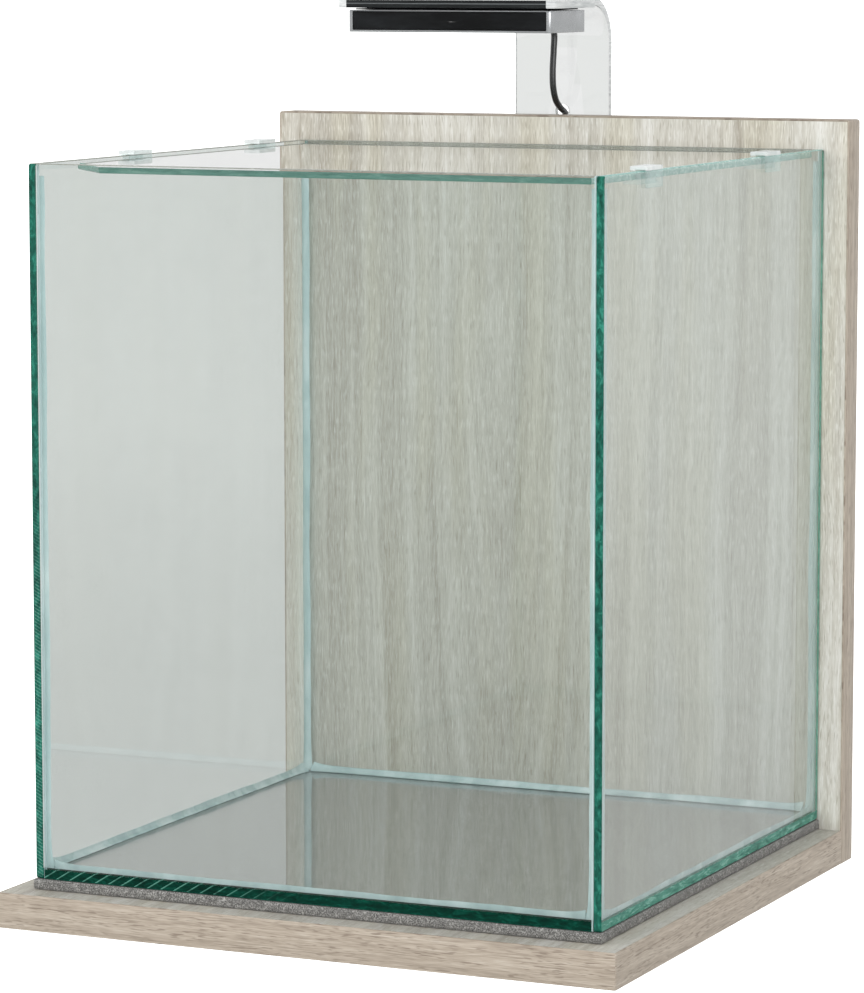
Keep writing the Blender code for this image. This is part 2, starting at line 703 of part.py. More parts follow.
def lamp_housing(parent, silver):
    outline = [(LAMP_X + x, (LAMP_FRONT + LAMP_REAR) / 2 + y)
               for x, y in rounded(LAMP_WIDTH, LAMP_DEPTH, LAMP_CORNER)]
    housing = prism("lamp_housing", outline, "Z", LAMP_BOTTOM, LAMP_TOP, silver, parent)
    reach = 0.01
    recess_side = LAMP_WIDTH / 2 - RIM_SIDE + GAP
    cut(housing, box("cut_front_recess",
                     (LAMP_X - recess_side, LAMP_FRONT - reach, LAMP_BOTTOM + RIM_BOTTOM - GAP),
                     (LAMP_X + recess_side, LAMP_FRONT + FRONT_PANEL_THICKNESS + GAP,
                      LAMP_TOP - RIM_TOP + GAP)))
    pocket_low, pocket_high = lamp_pocket()
    cut(housing, box("cut_lens_pocket",
                     (pocket_low[0], pocket_low[1], LAMP_BOTTOM - reach),
                     (pocket_high[0], pocket_high[1], LAMP_BOTTOM + LENS_THICKNESS + GAP)))
    cavity_low, cavity_high = lamp_cavity()
    cut(housing, box("cut_lamp_cavity", (cavity_low[0], cavity_low[1], LAMP_BOTTOM - reach),
                     (cavity_high[0], cavity_high[1], LAMP_TOP - LAMP_CEILING)))
    cut(housing, rod("cut_gland_hole", GLAND_STEM_RADIUS + GAP, (LAMP_X, LAMP_REAR + reach, LAMP_MIDDLE),
                     (0, -1, 0), reach + 2 * LAMP_WALL + LAMP_LEDGE))
    for name, x in board_screw_places():
        cut(housing, rod(f"cut_board_screw_{name}", BOARD_SCREW_RADIUS + GAP,
                         (LAMP_X + x, lamp_centre_y(), LAMP_TOP - LAMP_CEILING - reach), (0, 0, 1),
                         reach + BOARD_SCREW_BITE + GAP))


def lamp_pocket():
    """Low and high (x, y) of the opening that the lens fills."""
    side = LAMP_WIDTH / 2 - LAMP_WALL
    front = LAMP_FRONT + FRONT_PANEL_THICKNESS + GAP + LAMP_WALL
    return (LAMP_X - side, front), (LAMP_X + side, LAMP_REAR - LAMP_WALL)


def lamp_cavity():
    """Low and high (x, y) of the hollow above the lens, inside the ledge that the lens meets."""
    (low_x, low_y), (high_x, high_y) = lamp_pocket()
    return (low_x + LAMP_LEDGE, low_y + LAMP_LEDGE), (high_x - LAMP_LEDGE, high_y - LAMP_LEDGE)


def lamp_centre_y():
    low, high = lamp_cavity()
    return (low[1] + high[1]) / 2


def board_screw_places():
    low, high = lamp_cavity()
    side = (high[0] - low[0]) / 2 - BOARD_MARGIN - BOARD_SCREW_INSET
    return (("left", -side), ("right", side))


def lamp_covers(parent, black, tape, lens):
    side = LAMP_WIDTH / 2 - RIM_SIDE
    box("lamp_front_panel",
        (LAMP_X - side, LAMP_FRONT, LAMP_BOTTOM + RIM_BOTTOM),
        (LAMP_X + side, LAMP_FRONT + FRONT_PANEL_THICKNESS, LAMP_TOP - RIM_TOP),
        black, parent)
    box("lamp_tape",
        (LAMP_X - LAMP_WIDTH / 2 + TAPE_INSET, LAMP_FRONT + TAPE_INSET, TAPE_TOP - TAPE_THICKNESS),
        (LAMP_X + LAMP_WIDTH / 2 - TAPE_INSET, LAMP_REAR - TAPE_INSET, TAPE_TOP),
        tape, parent)
    low, high = lamp_pocket()
    box("lamp_lens", (low[0] + GAP, low[1] + GAP, LAMP_BOTTOM),
        (high[0] - GAP, high[1] - GAP, LAMP_BOTTOM + LENS_THICKNESS), lens, parent)


def spread(first, last, count):
    """`count` even places from `first` to `last`."""
    return [first + (last - first) * number / (count - 1) for number in range(count)]


def led_board(parent, white, steel):
    """A board under the ceiling of the housing, with rows of LEDs standing down from it."""
    low, high = lamp_cavity()
    board_top = LAMP_TOP - LAMP_CEILING - GAP
    board_bottom = board_top - BOARD_THICKNESS
    middle = (LAMP_X, lamp_centre_y())
    edges_x = [low[0] + BOARD_MARGIN, high[0] - BOARD_MARGIN]
    edges_y = [low[1] + BOARD_MARGIN, high[1] - BOARD_MARGIN]
    led_x = spread(edges_x[0] + LED_EDGE, edges_x[1] - LED_EDGE, LED_COLUMNS)
    led_y = spread(edges_y[0] + LED_EDGE, edges_y[1] - LED_EDGE, LED_ROWS)
    lines_x = sorted(edges_x + [x + side * LED_SIZE / 2 for x in led_x for side in (-1, 1)])
    lines_y = sorted(edges_y + [y + side * LED_SIZE / 2 for y in led_y for side in (-1, 1)])
    shape = bmesh.new()
    grid = [[shape.verts.new((x, y, board_bottom)) for y in lines_y] for x in lines_x]
    chips = []
    for i in range(len(lines_x) - 1):
        for j in range(len(lines_y) - 1):
            face = shape.faces.new((grid[i][j], grid[i + 1][j], grid[i + 1][j + 1], grid[i][j + 1]))
            if i % 2 == 1 and j % 2 == 1:
                chips.append(face)
    back = bmesh.ops.extrude_face_region(shape, geom=shape.faces[:], use_keep_orig=True)
    corners = [item for item in back["geom"] if isinstance(item, bmesh.types.BMVert)]
    bmesh.ops.translate(shape, verts=corners, vec=(0, 0, BOARD_THICKNESS))
    for chip in chips:
        raised = bmesh.ops.extrude_discrete_faces(shape, faces=[chip])["faces"][0]
        bmesh.ops.translate(shape, verts=raised.verts[:], vec=(0, 0, -LED_HEIGHT))
    board = put("led_board", shape, (*middle, board_bottom), white, parent)
    for name, x in board_screw_places():
        place = (LAMP_X + x, middle[1])
        cut(board, rod(f"cut_board_hole_{name}", BOARD_SCREW_RADIUS + GAP,
                       (*place, board_bottom - 2 * BOARD_THICKNESS), (0, 0, 1), 4 * BOARD_THICKNESS))
        screw(f"board_screw_{name}", BOARD_SCREW_HEAD_RADIUS, BOARD_SCREW_HEAD, BOARD_SCREW_RADIUS,
              GAP + BOARD_THICKNESS + GAP + BOARD_SCREW_BITE,
              (*place, board_bottom - GAP - BOARD_SCREW_HEAD), (0, 0, 1), steel, parent)


# ---------------------------------------------------------------- cord


def cord_gland(parent, rubber):
    """A grommet in the rear wall of the lamp, with a flange and a tapered nose outside it."""
    stem = LAMP_WALL
    profile = (
        (0, 0), (GLAND_STEM_RADIUS, 0), (GLAND_STEM_RADIUS, stem + GAP), (GLAND_FLANGE_RADIUS, stem + GAP),
        (GLAND_FLANGE_RADIUS, stem + GAP + GLAND_FLANGE),
        (GLAND_STEM_RADIUS, stem + GAP + GLAND_FLANGE),
        (GLAND_NOSE_RADIUS, stem + GAP + GLAND_FLANGE + GLAND_NOSE),
        (0, stem + GAP + GLAND_FLANGE + GLAND_NOSE),
    )
    turned("cord_gland", profile, (LAMP_X, LAMP_REAR - LAMP_WALL, LAMP_MIDDLE), (0, 1, 0), rubber, parent)


def cord(parent, sheath, strap):
    tube("cord_run", CORD_ROUTE, sheath, parent)
    tube("cord_tail", TAIL_ROUTE, sheath, parent)
    half_width = 2 * CORD_RADIUS + GAP
    height = COIL_LAYERS * 2 * CORD_RADIUS + GAP
    coil_top = COIL_LIFT + height
    inner = COIL_RADIUS - half_width
    outer = COIL_RADIUS + half_width
    ring = prism("cord_coil", circle(COIL_CENTRE, outer), "Z", COIL_LIFT, coil_top, sheath, parent)
    cut(ring, prism("cut_coil", circle(COIL_CENTRE, inner), "Z", -height, coil_top + height))
    strap_low = COIL_LIFT - GAP - TIE_THICKNESS
    strap_high = coil_top + GAP + TIE_THICKNESS
    middle_x = COIL_CENTRE[0] - COIL_RADIUS
    bow = outer - math.sqrt(outer ** 2 - (TIE_WIDTH / 2) ** 2)
    reach = half_width + bow + GAP
    start = COIL_CENTRE[1] - TIE_WIDTH / 2
    tie = box("coil_tie", (middle_x - reach - TIE_THICKNESS, start, strap_low),
              (middle_x + reach + TIE_THICKNESS, start + TIE_WIDTH, strap_high), strap, parent)
    cut(tie, box("cut_tie", (middle_x - reach, start - TIE_WIDTH, COIL_LIFT - GAP),
                 (middle_x + reach, start + 2 * TIE_WIDTH, coil_top + GAP)))


def circle(centre, radius):
    turns = [2 * math.pi * step / (2 * ROUND_STEPS) for step in range(2 * ROUND_STEPS)]
    return [(centre[0] + radius * math.cos(t), centre[1] + radius * math.sin(t)) for t in turns]


def power_supply(parent, shell, rubber, nickel):
    """A plug-in power supply lying on its side, its cord at one end and its pins at the other."""
    length, depth, height = SUPPLY_SIZE
    x, y = SUPPLY_CENTRE
    body = box("supply_body", (x - length / 2, y - depth / 2, GAP),
               (x + length / 2, y + depth / 2, GAP + height), shell, parent)
    soften(body, SUPPLY_CORNER)
    relief = (
        (0, 0), (RELIEF_WIDE_RADIUS, 0), (RELIEF_WIDE_RADIUS, RELIEF_LENGTH / 4),
        (RELIEF_NARROW_RADIUS, RELIEF_LENGTH), (0, RELIEF_LENGTH),
    )
    turned("supply_relief", relief, (x - length / 2 - GAP, y, RELIEF_HEIGHT), (-1, 0, 0), rubber, parent)
    pin = (
        (0, 0), (PIN_RADIUS, 0), (PIN_RADIUS, PIN_LENGTH - PIN_RADIUS / 2),
        (PIN_RADIUS / 2, PIN_LENGTH), (0, PIN_LENGTH),
    )
    for name, side in (("front", -1), ("rear", 1)):
        turned(f"supply_pin_{name}", pin, (x + length / 2 + GAP, y + side * PIN_SPACING / 2, PIN_HEIGHT),
               (1, 0, 0), nickel, parent)


# ---------------------------------------------------------------- the whole


def main():
    clear_scene()
    laminate = material("pale_oak_laminate", (0.60, 0.56, 0.49), 0.55)
    banding = material("beige_edge_band", (0.53, 0.43, 0.35), 0.5)
    foam = material("grey_foam", (0.15, 0.14, 0.13), 0.95)
    felt = material("black_felt", (0.03, 0.03, 0.03), 0.9)
    steel = material("zinc_steel", (0.55, 0.55, 0.56), 0.35, metallic=1.0)
    beech = material("beech_dowel", (0.55, 0.38, 0.22), 0.7)
    glass = material("green_float_glass", (0.82, 0.95, 0.90), 0.02, transmission=1.0, ior=1.52)
    sealant = material("clear_silicone", (0.60, 0.78, 0.79), 0.35, transmission=0.5, ior=1.41)
    clear_plastic = material("clear_clip_plastic", (0.92, 0.94, 0.94), 0.12, transmission=0.9, ior=1.49)
    acrylic = material("clear_acrylic", (0.94, 0.95, 0.96), 0.03, transmission=1.0, ior=1.49)
    nylon = material("white_nylon", (0.78, 0.78, 0.76), 0.5)
    silver = material("silver_housing", (0.42, 0.44, 0.46), 0.3, metallic=0.8)
    black = material("black_gloss_panel", (0.01, 0.01, 0.01), 0.08)
    tape = material("black_foam_tape", (0.015, 0.015, 0.015), 0.9)
    lens = material("frosted_lens", (0.88, 0.90, 0.92), 0.35, transmission=0.7, ior=1.49)
    white = material("white_circuit_board", (0.75, 0.75, 0.72), 0.45)
    rubber = material("black_rubber", (0.02, 0.02, 0.02), 0.6)
    sheath = material("black_cord_sheath", (0.015, 0.015, 0.015), 0.45)
    strap = material("grey_hook_strap", (0.08, 0.08, 0.09), 0.95)
    shell = material("black_supply_shell", (0.02, 0.02, 0.022), 0.4)
    nickel = material("nickel_pins", (0.70, 0.69, 0.66), 0.25, metallic=1.0)

    stand = empty("stand", (0, 0, 0))
    tank = empty("tank", (0, TANK_MIDDLE, TANK_BOTTOM))
    cover = empty("cover", (0, TANK_MIDDLE, COVER_BOTTOM))

    stand_boards(stand, laminate)
    edge_bands(stand, banding)
    stand_fasteners(stand, steel, beech)
    feet(stand, felt)
    foam_mat(stand, foam)
    lamp_arm(stand, acrylic)
    arm_fasteners(stand, steel, nylon)
    lamp_housing(stand, silver)
    lamp_covers(stand, black, tape, lens)
    led_board(stand, white, steel)
    cord_gland(stand, rubber)
    cord(stand, sheath, strap)
    power_supply(stand, shell, rubber, nickel)

    panes(tank, glass)
    silicone(tank, sealant)
    clips(tank, clear_plastic)
    cover_glass(cover, glass)


main()
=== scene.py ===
# Looks of the aquarium on its stand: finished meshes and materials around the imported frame.

import math

import bmesh
import bpy
from mathutils import Matrix, Vector, noise


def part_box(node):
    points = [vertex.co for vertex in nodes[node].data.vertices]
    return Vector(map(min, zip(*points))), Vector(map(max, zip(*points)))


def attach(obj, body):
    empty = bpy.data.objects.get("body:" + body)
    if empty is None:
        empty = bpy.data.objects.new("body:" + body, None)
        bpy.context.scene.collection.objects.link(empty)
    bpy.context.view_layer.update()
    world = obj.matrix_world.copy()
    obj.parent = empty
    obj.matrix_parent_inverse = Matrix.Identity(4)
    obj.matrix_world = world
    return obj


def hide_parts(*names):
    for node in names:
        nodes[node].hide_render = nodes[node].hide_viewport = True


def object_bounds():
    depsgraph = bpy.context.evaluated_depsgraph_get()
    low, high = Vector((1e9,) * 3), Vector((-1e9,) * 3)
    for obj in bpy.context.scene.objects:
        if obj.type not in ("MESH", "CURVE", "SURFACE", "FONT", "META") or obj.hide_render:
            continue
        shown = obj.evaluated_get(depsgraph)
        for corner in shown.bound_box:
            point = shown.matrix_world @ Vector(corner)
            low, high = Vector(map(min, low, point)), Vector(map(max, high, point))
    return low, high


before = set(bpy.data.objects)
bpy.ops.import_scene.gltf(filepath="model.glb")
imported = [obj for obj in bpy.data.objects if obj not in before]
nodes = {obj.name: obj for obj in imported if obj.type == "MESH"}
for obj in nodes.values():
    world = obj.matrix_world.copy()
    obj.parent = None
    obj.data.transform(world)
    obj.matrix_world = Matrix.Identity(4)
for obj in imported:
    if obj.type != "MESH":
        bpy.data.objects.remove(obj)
cad_low, cad_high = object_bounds()

GAP = 0.0003
EDGE_BAND = 0.0006
ARM_THICKNESS = 0.004
ARM_BEND_RADIUS = 0.020
AXES = {"X": 0, "Y": 1, "Z": 2}

# ---- camera


def link(made):
    bpy.context.scene.collection.objects.link(made)
    return made


def make_camera():
    azimuth, tilt, roll = math.radians(24.382), math.radians(7.003), math.radians(-0.024)
    right = Vector((math.cos(azimuth), math.sin(azimuth), 0))
    forward = Vector((-right.y * math.cos(tilt), right.x * math.cos(tilt), -math.sin(tilt)))
    turn = Matrix((right, right.cross(forward), -forward)).transposed() @ Matrix.Rotation(roll, 3, "Z")
    lens = bpy.data.cameras.new("camera")
    lens.lens = 161.2
    lens.sensor_width = 36
    lens.clip_start = 0.05
    lens.clip_end = 200
    eye = link(bpy.data.objects.new("camera", lens))
    eye.matrix_world = Matrix.Translation((0.91427, -2.03164, 0.47825)) @ turn.to_4x4()
    bpy.context.scene.camera = eye


make_camera()

# ---- shader helpers


def srgb(red, green, blue):
    """A colour given as eight-bit sRGB values, as the linear one that shaders take."""
    def linear(value):
        value /= 255
        return value / 12.92 if value <= 0.04045 else ((value + 0.055) / 1.055) ** 2.4

    return (linear(red), linear(green), linear(blue), 1.0)


def toned(shade, colour):
    """An sRGB colour's three numbers, darkened by a shade."""
    return [shade * part for part in colour]


class Tree:
    """A material's node tree, with short names for the nodes that the materials here share."""

    def __init__(self, name):
        self.material = bpy.data.materials.new(name)
        self.material.use_nodes = True
        self.tree = self.material.node_tree
        self.shader = self.tree.nodes["Principled BSDF"]
        self.output = self.tree.nodes["Material Output"]
        self.coordinates = self.tree.nodes.new("ShaderNodeTexCoord").outputs["Object"]
        self.xyz = self.add("ShaderNodeSeparateXYZ", Vector=self.coordinates).outputs

    def add(self, kind, settings=(), **inputs):
        node = self.tree.nodes.new(kind)
        for name, value in dict(settings).items():
            setattr(node, name, value)
        for name, value in inputs.items():
            self.feed(node.inputs[name.replace("_", " ")], value)
        return node

    def feed(self, socket, value):
        if isinstance(value, bpy.types.NodeSocket):
            self.tree.links.new(value, socket)
        else:
            socket.default_value = value

    def set(self, **inputs):
        for name, value in inputs.items():
            self.feed(self.shader.inputs[name.replace("_", " ")], value)
        return self

    def math(self, operation, first, second=0.0, third=0.0):
        node = self.add("ShaderNodeMath", {"operation": operation})
        for socket, value in zip(node.inputs, (first, second, third)):
            self.feed(socket, value)
        return node.outputs[0]

    def vector(self, x=0.0, y=0.0, z=0.0):
        return self.add("ShaderNodeCombineXYZ", X=x, Y=y, Z=z).outputs[0]

    def stretched(self, scales):
        """The object's own coordinates, scaled by a number for each axis."""
        node = self.add("ShaderNodeMapping", Vector=self.coordinates)
        node.inputs["Scale"].default_value = scales
        return node.outputs[0]

    def noise(self, vector, scale=1.0, detail=2.0, roughness=0.5, distortion=0.0):
        return self.add("ShaderNodeTexNoise", Vector=vector, Scale=scale, Detail=detail, Roughness=roughness,
                        Distortion=distortion).outputs[0]

    def cells(self, vector, scale):
        return self.add("ShaderNodeTexVoronoi", Vector=vector, Scale=scale).outputs[0]

    def grain(self, first, second, scales, shift=0.0, detail=2.0, roughness=0.5):
        """Noise over two coordinates, each scaled by its own number."""
        spot = self.vector(self.times(first, scales[0]), self.times(second, scales[1]), shift)
        return self.noise(spot, detail=detail, roughness=roughness)

    def times(self, first, second):
        return self.math("MULTIPLY", first, second)

    def weigh(self, first, *others):
        """The sum of (value, weight) pairs."""
        total = self.times(*first)
        for value, weight in others:
            total = self.math("MULTIPLY_ADD", value, weight, total)
        return total

    def between(self, value, low, high, to_low=0.0, to_high=1.0):
        """`value` from `low` to `high` as a smooth step from `to_low` to `to_high`."""
        node = self.add("ShaderNodeMapRange", {"interpolation_type": "SMOOTHSTEP"}, Value=value)
        for name, number in (("From Min", low), ("From Max", high), ("To Min", to_low), ("To Max", to_high)):
            node.inputs[name].default_value = number
        return node.outputs[0]

    def ramp(self, value, *stops):
        """A colour ramp through stops, each a place and an sRGB colour."""
        node = self.add("ShaderNodeValToRGB", Fac=value)
        band = node.color_ramp
        while len(band.elements) < len(stops):
            band.elements.new(0.5)
        for element, (place, colour) in zip(band.elements, stops):
            element.position = place
            element.color = srgb(*colour)
        return node.outputs[0]

    def mix(self, share, first, second, blend="MIX"):
        node = self.add("ShaderNodeMix", {"data_type": "RGBA", "blend_type": blend})
        self.feed(node.inputs["Factor"], share)
        self.feed(node.inputs[6], first)
        self.feed(node.inputs[7], second)
        return node.outputs[2]

    def bump(self, height, distance, strength=1.0):
        node = self.add("ShaderNodeBump", Height=height, Distance=distance, Strength=strength)
        self.feed(self.shader.inputs["Normal"], node.outputs[0])
        return self

    def open_way(self, tint):
        return self.add("ShaderNodeBsdfTransparent", Color=(*tint, 1.0)).outputs[0]

    def split(self, share, first, second):
        """Makes the surface a mix of two shaders."""
        both = self.add("ShaderNodeMixShader")
        for socket, value in zip(both.inputs, (share, first, second)):
            self.feed(socket, value)
        self.feed(self.output.inputs["Surface"], both.outputs[0])

    def clear_to_light(self, tint):
        """Lets lamps and bounced light pass straight through, tinted, as thin clear panes do."""
        path = self.add("ShaderNodeLightPath").outputs
        passes = self.math("MAXIMUM", path["Is Shadow Ray"], path["Is Diffuse Ray"])
        self.split(passes, self.shader.outputs[0], self.open_way(tint))
        return self.material


# ---- materials


def laminate(name, along, across, heart, tip, shade=1.0):
    """Limed oak print: streaks along one axis, arched figure about `heart` whose arches end near `tip`."""
    t = Tree(name)
    length = t.xyz[along]
    width = t.xyz[across]
    wander = t.grain(width, length, (12.0, 4.5), detail=4.0)
    width = t.math("MULTIPLY_ADD", t.math("SUBTRACT", wander, 0.5), 0.013, width)
    rise = t.math("MINIMUM", t.times(t.math("SUBTRACT", length, tip), 0.10), 0.0)
    side = t.math("SUBTRACT", width, heart)
    ring = t.math("SQRT", t.math("ADD", t.times(side, side), t.times(rise, rise)))
    slow = t.times(length, 1.6)
    figure = t.noise(t.vector(t.times(ring, 150.0), slow), detail=3.0, roughness=0.6)
    broad = t.noise(t.vector(t.times(width, 17.0), slow, 3.0), detail=2.0)
    streak = t.grain(width, length, (800.0, 34.0), detail=3.0, roughness=0.65)
    fibre = t.grain(width, length, (2000.0, 120.0), 7.0)
    tone = t.weigh((broad, 0.24), (figure, 0.34), (streak, 0.24), (fibre, 0.19))
    stops = ((0.38, (172, 164, 151)), (0.46, (198, 193, 182)), (0.52, (214, 210, 200)),
             (0.58, (228, 225, 218)), (0.66, (241, 239, 234)))
    colour = t.ramp(tone, *((place, toned(shade, tint)) for place, tint in stops))
    lime = t.grain(width, length, (1500.0, 140.0), 21.0)
    colour = t.mix(t.between(lime, 0.54, 0.68, 0.0, 0.5), colour, srgb(*toned(shade, (244, 243, 238))))
    pore = t.between(t.grain(width, length, (1500.0, 120.0), 13.0, detail=1.0), 0.60, 0.74)
    colour = t.mix(t.times(pore, 0.5), colour, srgb(*toned(shade, (150, 139, 122))))
    warmth = t.grain(width, length, (40.0, 3.0), 31.0)
    colour = t.mix(t.between(warmth, 0.46, 0.62, 0.0, 0.9), colour, (1.0, 0.985, 0.93, 1.0), "MULTIPLY")
    t.set(Base_Color=colour, Roughness=t.between(streak, 0.3, 0.7, 0.42, 0.58), Specular_IOR_Level=0.4)
    return t.bump(t.math("SUBTRACT", fibre, t.times(pore, 0.8)), 0.00012, 0.6).material


def edge_band(name, along, across, shade=1.0):
    """Beige plastic banding with a printed grain: short brown dashes along its length."""
    t = Tree(name)
    length = t.xyz[along]
    width = t.xyz[across]
    wander = t.grain(length, width, (14.0, 60.0))
    width = t.math("MULTIPLY_ADD", t.math("SUBTRACT", wander, 0.5), 0.0022, width)
    broad = t.grain(length, width, (13.0, 330.0), detail=3.0)
    fine = t.grain(length, width, (90.0, 1700.0), 5.0)
    tone = t.weigh((fine, 0.5), (broad, 0.5))
    stops = ((0.36, (152, 140, 126)), (0.47, (172, 159, 144)), (0.58, (188, 176, 161)),
             (0.68, (200, 191, 178)))
    colour = t.ramp(tone, *((place, toned(shade, tint)) for place, tint in stops))
    dash = t.grain(length, width, (130.0, 1350.0), 9.0, detail=1.5)
    patch = t.grain(length, width, (26.0, 260.0), 2.0, detail=1.0)
    dash = t.times(t.between(dash, 0.52, 0.66), t.between(patch, 0.34, 0.58))
    colour = t.mix(t.times(dash, 0.75), colour, srgb(*toned(shade, (128, 114, 101))))
    t.set(Base_Color=colour, Roughness=t.between(fine, 0.3, 0.7, 0.40, 0.52), Specular_IOR_Level=0.4)
    return t.bump(t.math("SUBTRACT", fine, dash), 0.00006, 0.5).material


def foam():
    t = Tree("grey_foam")
    cell = t.cells(t.coordinates, 1500.0)
    grain = t.noise(t.coordinates, 2600.0, 3.0, 0.7)
    blot = t.noise(t.coordinates, 320.0, 2.0)
    tone = t.weigh((cell, 0.35), (grain, 0.6), (blot, 0.2))
    colour = t.ramp(tone, (0.40, (62, 61, 60)), (0.54, (114, 113, 111)), (0.66, (156, 155, 152)),
                    (0.78, (204, 203, 200)))
    t.set(Base_Color=colour, Roughness=0.95, Specular_IOR_Level=0.1, Sheen_Weight=0.15)
    return t.bump(tone, 0.0007).material


def float_glass(name, tint, light_tint):
    """Clear glass, with faint water marks in its gloss."""
    t = Tree(name)
    marks = t.noise(t.coordinates, 34.0, 4.0, 0.6)
    haze = t.mix(t.between(marks, 0.45, 0.75), (*tint, 1.0), (*[0.985 * part for part in tint], 1.0))
    t.set(Base_Color=haze, Roughness=0.0, IOR=1.52, Transmission_Weight=1.0)
    return t.clear_to_light(light_tint)


def cut_edge(name, tones, across_scale, hatch=None, gloss=0.12, streaks=(0.15, 0.35, 0.29, 1.0)):
    """A ground edge of float glass, mottled from dark to light, with grinding marks, and glossy."""
    t = Tree(name)
    blot = t.noise(t.stretched(across_scale), 1.0, 3.0, 0.65, 0.6)
    chip = t.cells(t.stretched([3.1 * part for part in across_scale]), 1.0)
    slow = t.noise(t.coordinates, 14.0, 2.0)
    tone = t.weigh((slow, 0.25), (blot, 0.75))
    colour = t.ramp(tone, *zip((0.36, 0.52, 0.68), tones))
    colour = t.mix(t.between(chip, 0.35, 0.1, 0.0, 0.5), colour, srgb(*tones[0]))
    if hatch:
        slant, pitch, width, place = hatch
        slanted = t.math("ADD", t.xyz[slant[0]], t.times(t.xyz[slant[1]], slant[2]))
        line = t.math("FRACT", t.times(slanted, 1 / pitch))
        mark = t.times(t.between(line, width, 0.0), t.between(t.xyz[place[0]], place[1], place[2]))
        colour = t.mix(t.times(mark, t.between(blot, 0.3, 0.6, 0.3, 0.85)), colour, streaks)
    t.set(Base_Color=colour, Roughness=t.between(blot, 0.3, 0.7, 0.12, 0.32), Specular_IOR_Level=gloss,
          Coat_Weight=0.6 * gloss, Coat_Roughness=0.08)
    return t.bump(blot, 0.00025, 0.5).material


def milky(name, opacity, tones, ior=1.41, clear_below=None):
    """A clear but milky solid, such as silicone or moulded plastic, uneven in how much it lets through."""
    t = Tree(name)
    cloud = t.noise(t.stretched((60, 60, 26)), 1.0, 3.0)
    colour = t.ramp(cloud, *zip((0.3, 0.55, 0.8), tones))
    t.set(Base_Color=colour, Roughness=t.between(cloud, 0.3, 0.7, 0.18, 0.34), IOR=ior)
    path = t.add("ShaderNodeLightPath").outputs
    solid = t.between(cloud, 0.25, 0.75, opacity - 0.14, opacity + 0.16)
    if clear_below:
        height, share = clear_below
        solid = t.times(solid, t.between(t.xyz["Z"], height, height + 0.0006, share, 1.0))
    solid = t.times(solid, t.math("MULTIPLY_ADD", path["Is Shadow Ray"], -0.6, 1.0))
    t.split(solid, t.open_way((0.93, 0.975, 0.97)), t.shader.outputs[0])
    return t.bump(cloud, 0.0004, 0.4).material


def clear_plastic(name, tint, ior, roughness, light_tint):
    """Clear moulded or sheet plastic with hair scratches in its gloss."""
    t = Tree(name)
    scratch = t.noise(t.stretched((900, 60, 60)), 1.0, 2.0, 0.7)
    rough = t.between(scratch, 0.62, 0.75, roughness, roughness + 0.05)
    shade = t.mix(t.noise(t.coordinates, 25.0), (*tint, 1.0), (*[0.99 * part for part in tint], 1.0))
    t.set(Base_Color=shade, Roughness=rough, IOR=ior, Transmission_Weight=1.0)
    return t.clear_to_light(light_tint)


def brushed_metal(name, colour, roughness, stretch, metallic=1.0):
    t = Tree(name)
    brush = t.noise(t.stretched(stretch), 1.0, 3.0, 0.7)
    cloud = t.noise(t.coordinates, 60.0, 3.0)
    shade = t.mix(t.between(cloud, 0.3, 0.7), colour, [0.86 * part for part in colour[:3]] + [1.0])
    rough = t.between(brush, 0.3, 0.7, roughness, roughness + 0.12)
    t.set(Base_Color=shade, Metallic=metallic, Roughness=rough)
    return t.bump(brush, 0.000008, 0.3).material


def moulded(name, colour, roughness, grain=1800.0, depth=0.00004, specular=0.5):
    """Moulded plastic or rubber with a fine texture and handling marks."""
    t = Tree(name)
    fine = t.noise(t.coordinates, grain, 2.0, 0.6)
    wear = t.noise(t.coordinates, 45.0, 4.0, 0.65)
    pale = [min(1.0, 1.25 * part + 0.004) for part in colour[:3]] + [1.0]
    shade = t.mix(t.between(wear, 0.4, 0.75), colour, pale)
    t.set(Base_Color=shade, Roughness=t.between(wear, 0.3, 0.75, roughness, roughness + 0.12),
          Specular_IOR_Level=specular)
    return t.bump(fine, depth, 0.5).material


def gloss_black():
    t = Tree("black_gloss_panel")
    dust = t.between(t.cells(t.coordinates, 420.0), 0.05, 0.0)
    smear = t.noise(t.stretched((30, 30, 120)), 1.0, 4.0, 0.65)
    black = t.ramp(smear, (0.4, (14, 15, 16)), (0.8, (34, 36, 38)))
    shade = t.mix(t.times(dust, 0.4), black, srgb(120, 122, 124))
    t.set(Base_Color=shade, Roughness=t.between(smear, 0.35, 0.75, 0.05, 0.16), Specular_IOR_Level=0.12)
    return t.material


def edge_with_painted_tape_reflection(name, low, high):
    """The front of a clear sheet with black tape under it, painted black with a thin pale line along its
    middle: a painted reflection of the tape and its edge inside the sheet.
    """
    t = Tree(name)
    smear = t.noise(t.stretched((40, 40, 900)), 1.0, 3.0, 0.65)
    height = t.math("ABSOLUTE", t.math("SUBTRACT", t.xyz["Z"], low * 0.45 + high * 0.55))
    # Painted reflection: the tape's edge as a thin pale line along the middle of the edge.
    line = t.between(height, 0.0001, 0.00035, 0.55, 0.0)
    black = t.ramp(smear, (0.35, (24, 26, 27)), (0.75, (44, 47, 48)))
    colour = t.mix(line, black, srgb(128, 132, 134))
    t.set(Base_Color=colour, Roughness=t.between(smear, 0.3, 0.7, 0.12, 0.26), Specular_IOR_Level=0.15)
    return t.material


def felt(name, colour):
    t = Tree(name)
    fluff = t.noise(t.coordinates, 2400.0, 3.0, 0.7)
    shade = t.mix(fluff, colour, [2.6 * part for part in colour[:3]] + [1.0])
    t.set(Base_Color=shade, Roughness=0.95, Sheen_Weight=0.4, Sheen_Roughness=0.5, Specular_IOR_Level=0.1)
    return t.bump(fluff, 0.0004).material


def beech():
    t = Tree("beech_dowel")
    grain = t.noise(t.stretched((1400, 60, 1400)), 1.0, 3.0)
    t.set(Base_Color=t.ramp(grain, (0.3, (176, 132, 92)), (0.7, (214, 178, 138))), Roughness=0.7)
    return t.bump(grain, 0.0002).material


